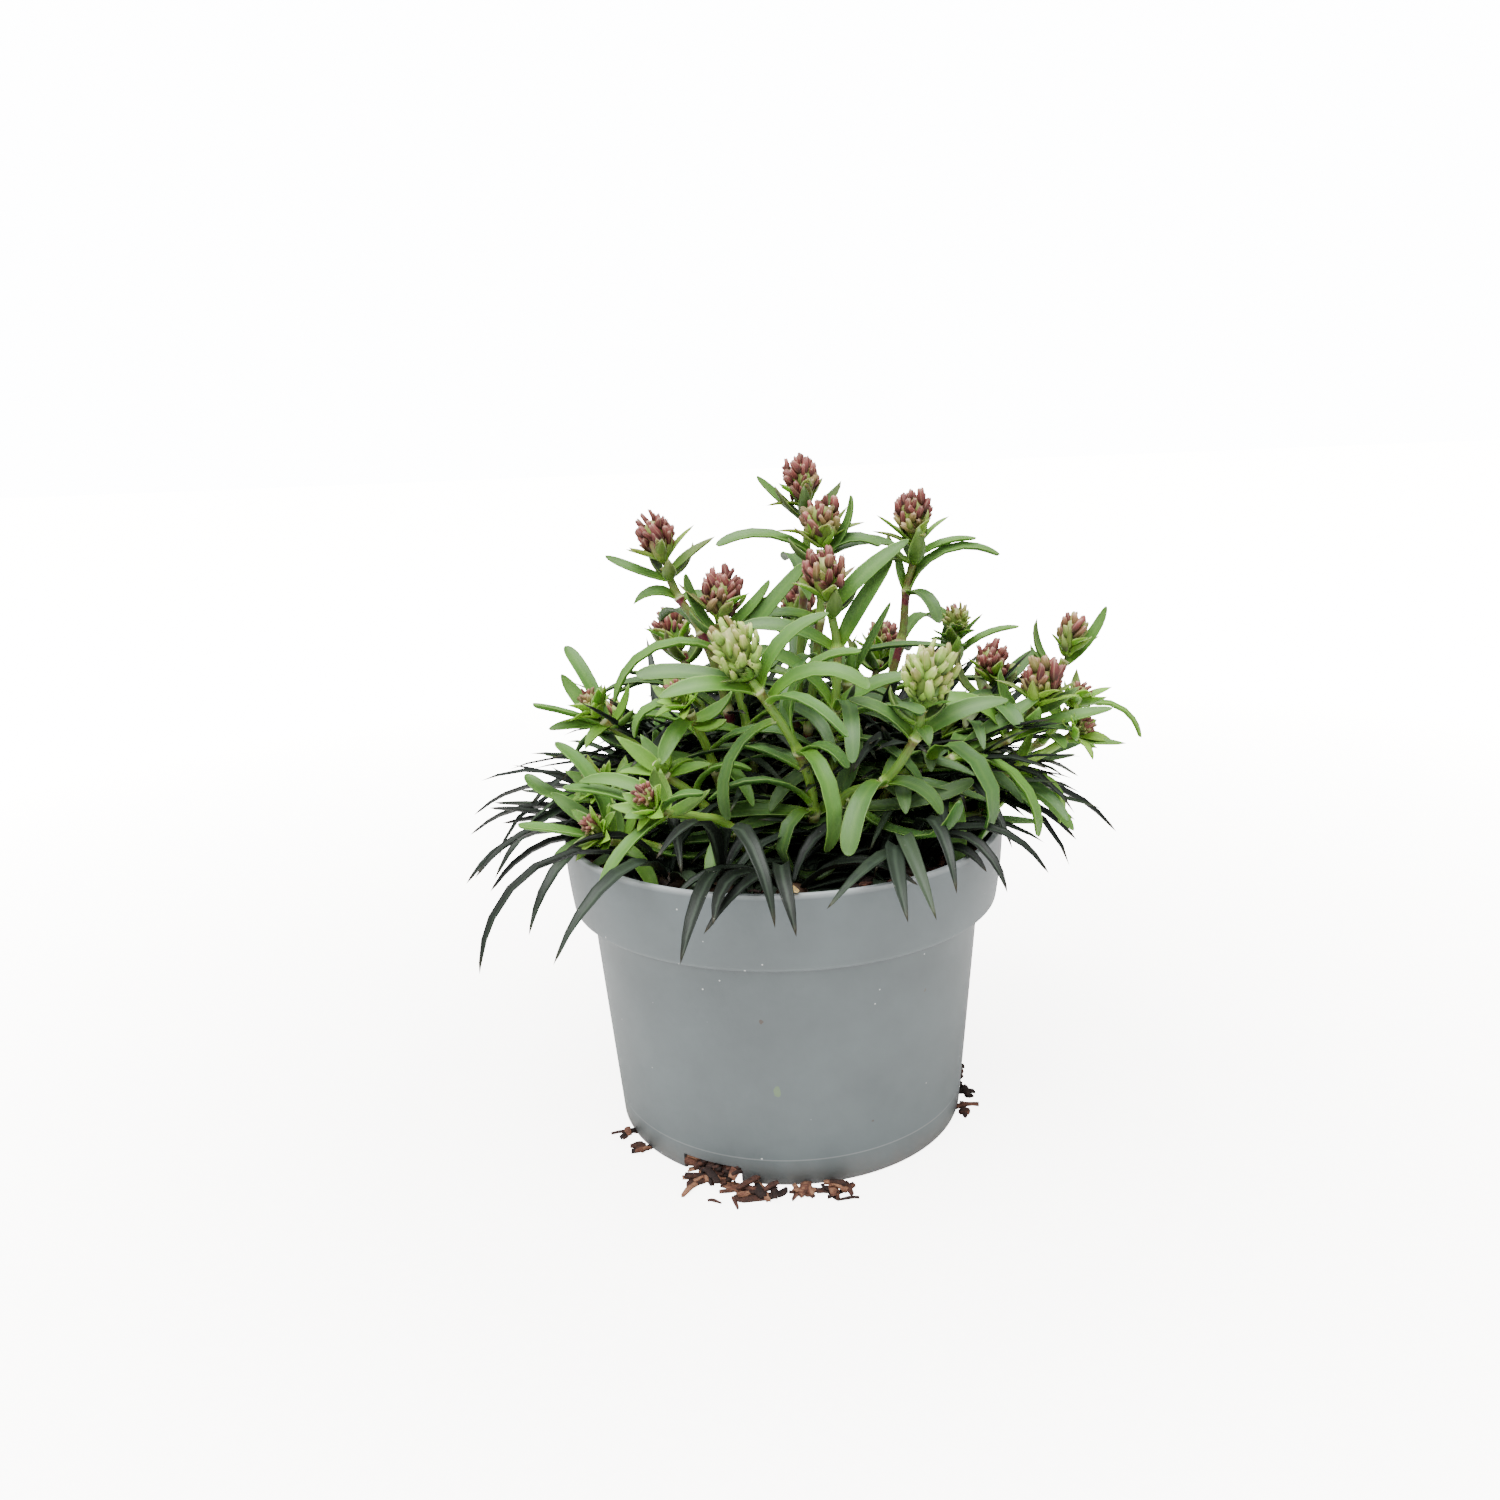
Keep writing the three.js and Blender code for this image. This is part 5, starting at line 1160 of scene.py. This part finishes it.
# A bud's rings: how far up it, and its width there as a share of its full width. Its five scales stand
# apart at the tip.
BUD_RINGS = (
    (0, 0.3), (0.12, 0.62), (0.32, 0.95), (0.52, 1), (0.72, 0.82), (0.86, 0.52), (0.95, 0.26), (1, 0),
)
TOOTHED_RINGS = (5, 6)
SCALES = 5
BUD_LENGTH, BUD_WIDTH = 4.8, 2.5
# The radius of a head with buds of that size.
COMMON_RADIUS = 6.6
# How ripe a head is, from 0, green, to 1, rose-brown.
RIPENESS = {
    "front_left": 0.08, "front_right": 0.14, "centre": 0.8, "upper": 0.55, "summit": 0.8, "right_tall": 0.75,
    "left_tall": 0.95, "left_centre": 0.85, "right_arm": 0.6, "right_ruby": 1, "right_high": 0.35,
    "right_edge": 0.4, "left_high": 0.35, "left_low": 0.4, "front_low": 0.6, "left_rim": 0.45,
    "right_low": 0.2, "far_right": 0.05, "left_mid": 0.2, "back_left": 0.7, "back_centre": 0.85,
    "back_right": 0.65, "back_low_left": 0.4, "back_low": 0.5,
}
# The palest heads show more of their buds above a short ruff, and these have no node of their own.
PALE_BELOW = 0.15
UNRIPE = ("far_right", "left_mid", "right_low")
# Heads that are still sunk in their bracts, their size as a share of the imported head's, and how many bracts
# stand round each head.
YOUNG = (
    "left_high", "left_mid", "left_low", "front_low", "left_rim", "right_low", "right_edge", "far_right",
)
YOUNG_WIDE, YOUNG_TALL = 0.84, 0.8
BRACTS = 13


def add_bud(piece, base, direction, length, width, tone, ripe, spin):
    """One pointed bud: a grid that runs once round it, drawn in between its scales."""
    bm = new_leaves()
    tones, blushes = bm.verts.layers.float["tone"], bm.verts.layers.float["blush"]
    columns = 2 * SCALES
    made = bmesh.ops.create_grid(
        bm, x_segments=columns, y_segments=len(BUD_RINGS) - 1, size=0.5, calc_uvs=True,
    )["verts"]
    turned = direction.to_track_quat("Z", "Y").to_matrix()
    for vert in made:
        column = round((vert.co.x + 0.5) * columns)
        step = round((vert.co.y + 0.5) * (len(BUD_RINGS) - 1))
        share, spread = BUD_RINGS[step]
        around = 2 * pi * column / columns + spin
        pinch = 1 - (0.34 * share if column % 2 else 0)
        radius = width / 2 * spread * pinch
        tooth = 0
        if step in TOOTHED_RINGS and not column % 2:
            tooth = 0.09 * length * (0.3 + 1.4 * ((column * 0.37 + tone * 7) % 1))
            radius *= 1.35
        vert.co = base + turned @ Vector(
            (cos(around) * radius, sin(around) * radius, length * share + tooth)
        )
        vert[tones] = tone
        vert[blushes] = ripe
    finish_part(piece, bm, 0)


def add_head(piece, neck, head, ripe, young):
    """Buds on a spiral over the head's upper part, a core between them and a ruff of pointed bracts below. A
    young head is sunk in a rosette of broad bracts."""
    x, y, z, radius, half_height = head
    middle = Vector((x, y, z))
    axis = (middle - neck).normalized()
    if young:
        radius, half_height = YOUNG_WIDE * radius, YOUNG_TALL * half_height
        middle -= axis
    upright = axis.to_track_quat("Z", "Y").to_matrix()
    pale = ripe < PALE_BELOW
    count = round(15 + radius * (3.8 if pale else 3.6))
    size = radius / COMMON_RADIUS
    for i in range(count):
        height = 1 - (i + 0.5) / count * (1.75 if pale else 1.55)
        around = radians(i * 137.5 + random.uniform(-14, 14))
        ring = sqrt(1 - height * height)
        normal = Vector((cos(around) * ring, sin(around) * ring, height))
        on_head = Vector((normal.x * radius, normal.y * radius, normal.z * half_height * 0.92))
        lean = (normal * (1.1 if young else 0.62) + Vector((0, 0, 0.45 if young else 0.72))
                + Vector((random.uniform(-0.45, 0.45), random.uniform(-0.45, 0.45), 0))).normalized()
        length = BUD_LENGTH * (0.75 + 0.25 * size) * random.uniform(0.8, 1.4)
        width = BUD_WIDTH * (0.7 + 0.3 * size) * random.uniform(0.6, 1.25) * (0.8 if young else 1)
        tip = on_head * random.uniform(0.76, 1.02 + 0.2 * max(height, 0))
        base = middle + upright @ (tip - lean * length)
        # A bud is either green or rose, and few are in between.
        bud_ripe = ripe + random.uniform(-0.3, 0.25) + (0.7 if young else 0.25) * height
        bud_ripe = clamp(0.5 + 1.9 * (bud_ripe - 0.45))
        shade = random.uniform(0.5 if pale else 0, 1)
        add_bud(piece, base, upright @ lean, length, width, shade, bud_ripe, random.uniform(0, 3))
    bm = new_leaves()
    core = bmesh.ops.create_uvsphere(bm, u_segments=12, v_segments=8, radius=1, calc_uvs=True)["verts"]
    drop = (middle - neck).length
    for vert in core:
        share = max(0, -vert.co.z)
        spread = radius * 0.6 * (1 - 0.72 * share ** 2)
        vert.co.x *= spread
        vert.co.y *= spread
        vert.co.z *= half_height * 0.6 if vert.co.z > 0 else drop
        vert.co = middle + upright @ vert.co
        vert[bm.verts.layers.float["tone"]] = 0.15
        vert[bm.verts.layers.float["blush"]] = 0
    finish_part(piece, bm, 0)
    facing = axis + Vector((0, -0.55, 0)) if young and y < 0 else axis
    ruff = new_leaves()
    for i in range(BRACTS):
        turn = i * 137.5 + random.uniform(-14, 14)
        foot = Vector((0, 0, (drop - half_height) * random.uniform(0.3, 1.1)))
        if young:
            rise, fall = random.uniform(25, 70), random.uniform(-20, 60)
            length, width = random.uniform(7, 13), random.uniform(3.6, 5)
        else:
            # Every other bract clasps the head, and the others spread.
            rise, fall = random.uniform(30, 58), random.uniform(*((62, 110) if i % 2 else (-10, 50)))
            length, width = (half_height + 4) * random.uniform(0.65, 1), radius * random.uniform(0.5, 0.7)
            if pale:
                length, width = 0.72 * length, 0.7 * width
            elif not i % 2:
                length *= 1.4
        row = [turn, rise, fall, length, width, 0, random.uniform(-25, 25)]
        # Bracts take a light tone: partly their own pale green, partly painted light against the shade under
        # the head.
        tone = 0.5 if pale else clamp(1 - 0.25 * ripe + random.uniform(-0.25, 0.15))
        blush = 0.35 * random.random() ** 2 if young else (0.3 + 0.7 * ripe) * random.random()
        add_blade(
            ruff, foot, row, BRACT_RINGS, 0.6, 0.35, tone, blush=blush, twist=0.2, finish=1, soft=True,
        )
    bmesh.ops.rotate(ruff, verts=ruff.verts, matrix=facing.to_track_quat("Z", "Y").to_matrix())
    bmesh.ops.translate(ruff, verts=ruff.verts, vec=neck)
    join_in(piece, ruff)


# Papery bud scales: green at the foot, rose to red-brown above, matt. The darkest foot of each bud is painted
# shade, and the cream along the edges and tips is a painted highlight.
bud_scale, tree, shader = finish_of("papery_bud_scale", "#a06a62", Roughness=0.62, IOR=1.4)
place, _, around, outward, shade, ripe = read_plant(tree)
flecks = node(tree, "TexNoise", {"Scale": 1 / 0.0012, "Detail": 4}, {"Vector": place})
flecked = node(tree, "Math", {"operation": "MULTIPLY_ADD", 1: 0.3, 2: -0.15}, {0: flecks})
climb = node(tree, "Math", {"operation": "ADD"}, {0: outward, 1: flecked})
# The darkest, lowest stops of both ramps are painted shade where the buds' feet crowd together.
green_bud = node(
    tree, "ValToRGB",
    {"stops": (
        (0.15, "#3f5e1e"), (0.42, "#7fa83e"), (0.68, "#aec562"), (0.9, "#c9cf8a"), (1.0, "#a97b5e"),
    )},
    {0: climb},
)
rose_bud = node(
    tree, "ValToRGB",
    {"stops": (
        (0.12, "#3a2a1c"), (0.4, "#5c2a26"), (0.62, "#84443f"), (0.84, "#a9726a"), (1.0, "#cdb092"),
    )},
    {0: climb},
)
skin = node(tree, "Mix", {"data_type": "RGBA"}, {0: ripe, 6: green_bud, 7: rose_bud}, 2)
deeper = node(tree, "MapRange", {"To Min": 0.6, "To Max": 0.0}, {"Value": shade})
keel_far = off_keel(tree, around, 4)
# A painted highlight: cream along the scale edges, stronger towards the tips.
edge_highlight_band = node(tree, "MapRange", {"From Min": 0.4, "From Max": 0.5, "To Max": 0.5}, {"Value": keel_far})
painted_tip_highlight = node(tree, "Math", {"operation": "MULTIPLY"}, {0: edge_highlight_band, 1: outward})
for colour, mask in (("#331514", deeper), ("#cdb083", painted_tip_highlight)):
    skin = node(tree, "Mix", {"data_type": "RGBA", 7: linear(colour)}, {0: mask, 6: skin}, 2)
dress(tree, shader, skin, flecks, 0.3)

for name, points, head, leaves in stems:
    if head is None:
        continue
    random.seed("bloom " + name)
    bm = new_leaves()
    neck = stem_line(points)[0](len(points) - 1)
    add_head(bm, neck, head, RIPENESS[name], name in YOUNG)
    replaced = [] if name in UNRIPE else ["head_" + name]
    set_down("bloom_" + name, bm, [bud_scale, green_leaf], "bud_head", *replaced)


# The fallen bud scales
# Scales that a head has shed, dry, papery and curled: one has come to rest on the pot's lip, and two lie
# caught among the leaves over the compost.

# Each: x, y and z of its middle, and its turn.
HUSKS = ((2.6, -63.6, POT_HEIGHT + 0.5, 20), (-33, -46, SOIL_TOP + 4, 110), (30, -49, SOIL_TOP + 4, 250))
HUSK_LENGTH, HUSK_WIDTH, HUSK_THICK = 4.2, 2.0, 0.15

# Dried plant paper: straw brown with paler flecks, matt.
dry_husk, tree, shader = finish_of("dry_papery_husk", "#b0955c", Roughness=0.7)
place = node(tree, "TexCoord", out="Object")
fleck = node(tree, "TexNoise", {"Scale": 1 / 0.0014, "Detail": 3}, {"Vector": place})
husk_colour = node(
    tree, "ValToRGB", {"stops": ((0.3, "#7c6236"), (0.6, "#b59a5e"), (0.8, "#cdb988"))}, {0: fleck},
)
dress(tree, shader, husk_colour, fleck, 0.3)

husks = bmesh.new()
for x, y, z, turn in HUSKS:
    bm = bmesh.new()
    for vert in bmesh.ops.create_grid(bm, x_segments=4, y_segments=6, size=0.5)["verts"]:
        across, along = vert.co.x, vert.co.y
        vert.co.x = across * HUSK_WIDTH * (1 - 2.6 * along * along)
        vert.co.y = along * HUSK_LENGTH
        vert.co.z = 1.8 * across * across + 2.2 * along * along
    bmesh.ops.solidify(bm, geom=bm.faces[:], thickness=HUSK_THICK)
    bmesh.ops.rotate(bm, verts=bm.verts, matrix=Matrix.Rotation(radians(turn), 3, "Z"))
    bmesh.ops.translate(bm, verts=bm.verts, vec=(x, y, z))
    join_in(husks, bm)
set_down("fallen_husks", husks, [dry_husk], "bud_head")


# The scene
# A plain pale floor under soft studio light, seen by a camera at the photograph's angle. Places and sizes
# here are in metres.

FLOOR_HALF = 6

floor_mesh = bpy.data.meshes.new("floor")
bm = bmesh.new()
bmesh.ops.create_grid(bm, x_segments=1, y_segments=1, size=FLOOR_HALF)
bm.to_mesh(floor_mesh)
bm.free()
floor = bpy.data.objects.new("floor", floor_mesh)
bpy.context.scene.collection.objects.link(floor)
# Painted board: an even warm white, matt.
board, tree, shader = finish_of("painted_white_board", "#f2efec", Roughness=0.8)
place = node(tree, "TexCoord", out="Object")
grit = node(tree, "TexNoise", {"Scale": 1 / 0.003, "Detail": 4}, {"Vector": place})
board_colour = node(tree, "ValToRGB", {"stops": ((0.3, "#ece8e4"), (0.7, "#f5f3f1"))}, {0: grit})
tree.links.new(board_colour, shader.inputs["Base Color"])
# Away from the pot the board is lit up to the white of the surround.
far_out = node(tree, "VectorMath", {"operation": "LENGTH"}, {0: place}, "Value")
board_seen = node(tree, "LightPath", out="Is Camera Ray")
board_glow = node(
    tree, "MapRange", {"From Min": 0.12, "From Max": 0.7, "To Min": 6.5, "To Max": 16.0}, {"Value": far_out},
)
shown_glow = node(tree, "Math", {"operation": "MULTIPLY"}, {0: board_glow, 1: board_seen})
shader.inputs["Emission Color"].default_value = linear("#fffdfa")
tree.links.new(shown_glow, shader.inputs["Emission Strength"])
floor_mesh.materials.append(board)

# The camera sees a white surround, and the object is lit by a dimmer one and by large soft lamps.
world = bpy.data.worlds.new("studio")
bpy.context.scene.world = world
world.use_nodes = True
surround = world.node_tree.nodes["Background"]
surround.inputs["Color"].default_value = linear("#f7f9fb")
is_seen = node(world.node_tree, "LightPath", out="Is Camera Ray")
glow = node(world.node_tree, "MapRange", {"To Min": 0.66, "To Max": 16.0}, {"Value": is_seen})
world.node_tree.links.new(glow, surround.inputs["Strength"])

# Each light: its name, place, size and power in watts.
LIGHTS = (
    ("overhead", (-0.1, -0.15, 1.3), 1.1, 46), ("key", (-0.8, -1.0, 1.0), 0.8, 11),
    ("fill", (0.9, -0.8, 0.6), 0.9, 4),
)
for name, spot, size, power in LIGHTS:
    lamp = bpy.data.lights.new(name, "AREA")
    lamp.shape = "SQUARE"
    lamp.size = size
    lamp.energy = power
    light = bpy.data.objects.new(name, lamp)
    light.location = spot
    light.rotation_euler = (Vector((0, 0, 0.1)) - Vector(spot)).to_track_quat("-Z", "Y").to_euler()
    bpy.context.scene.collection.objects.link(light)

# The camera's place and turn were solved from the ellipses of the pot's rim and foot in the photograph.
CAMERA_SPOT = (0, -0.359, 0.205)
PITCH, YAW, ROLL = radians(14.5), radians(-1.4), radians(-2.3)
ahead = Vector((sin(YAW) * cos(PITCH), cos(YAW) * cos(PITCH), -sin(PITCH)))
level = Vector((cos(YAW), -sin(YAW), 0))
upward = level.cross(ahead)
right = level * cos(ROLL) + upward * sin(ROLL)
top = upward * cos(ROLL) - level * sin(ROLL)
lens = bpy.data.cameras.new("camera")
lens.sensor_width, lens.lens = 36, 30
camera = bpy.data.objects.new("camera", lens)
camera.matrix_world = Matrix((
    (right.x, top.x, -ahead.x, CAMERA_SPOT[0]),
    (right.y, top.y, -ahead.y, CAMERA_SPOT[1]),
    (right.z, top.z, -ahead.z, CAMERA_SPOT[2]),
    (0, 0, 0, 1),
))
bpy.context.scene.collection.objects.link(camera)
bpy.context.scene.camera = camera
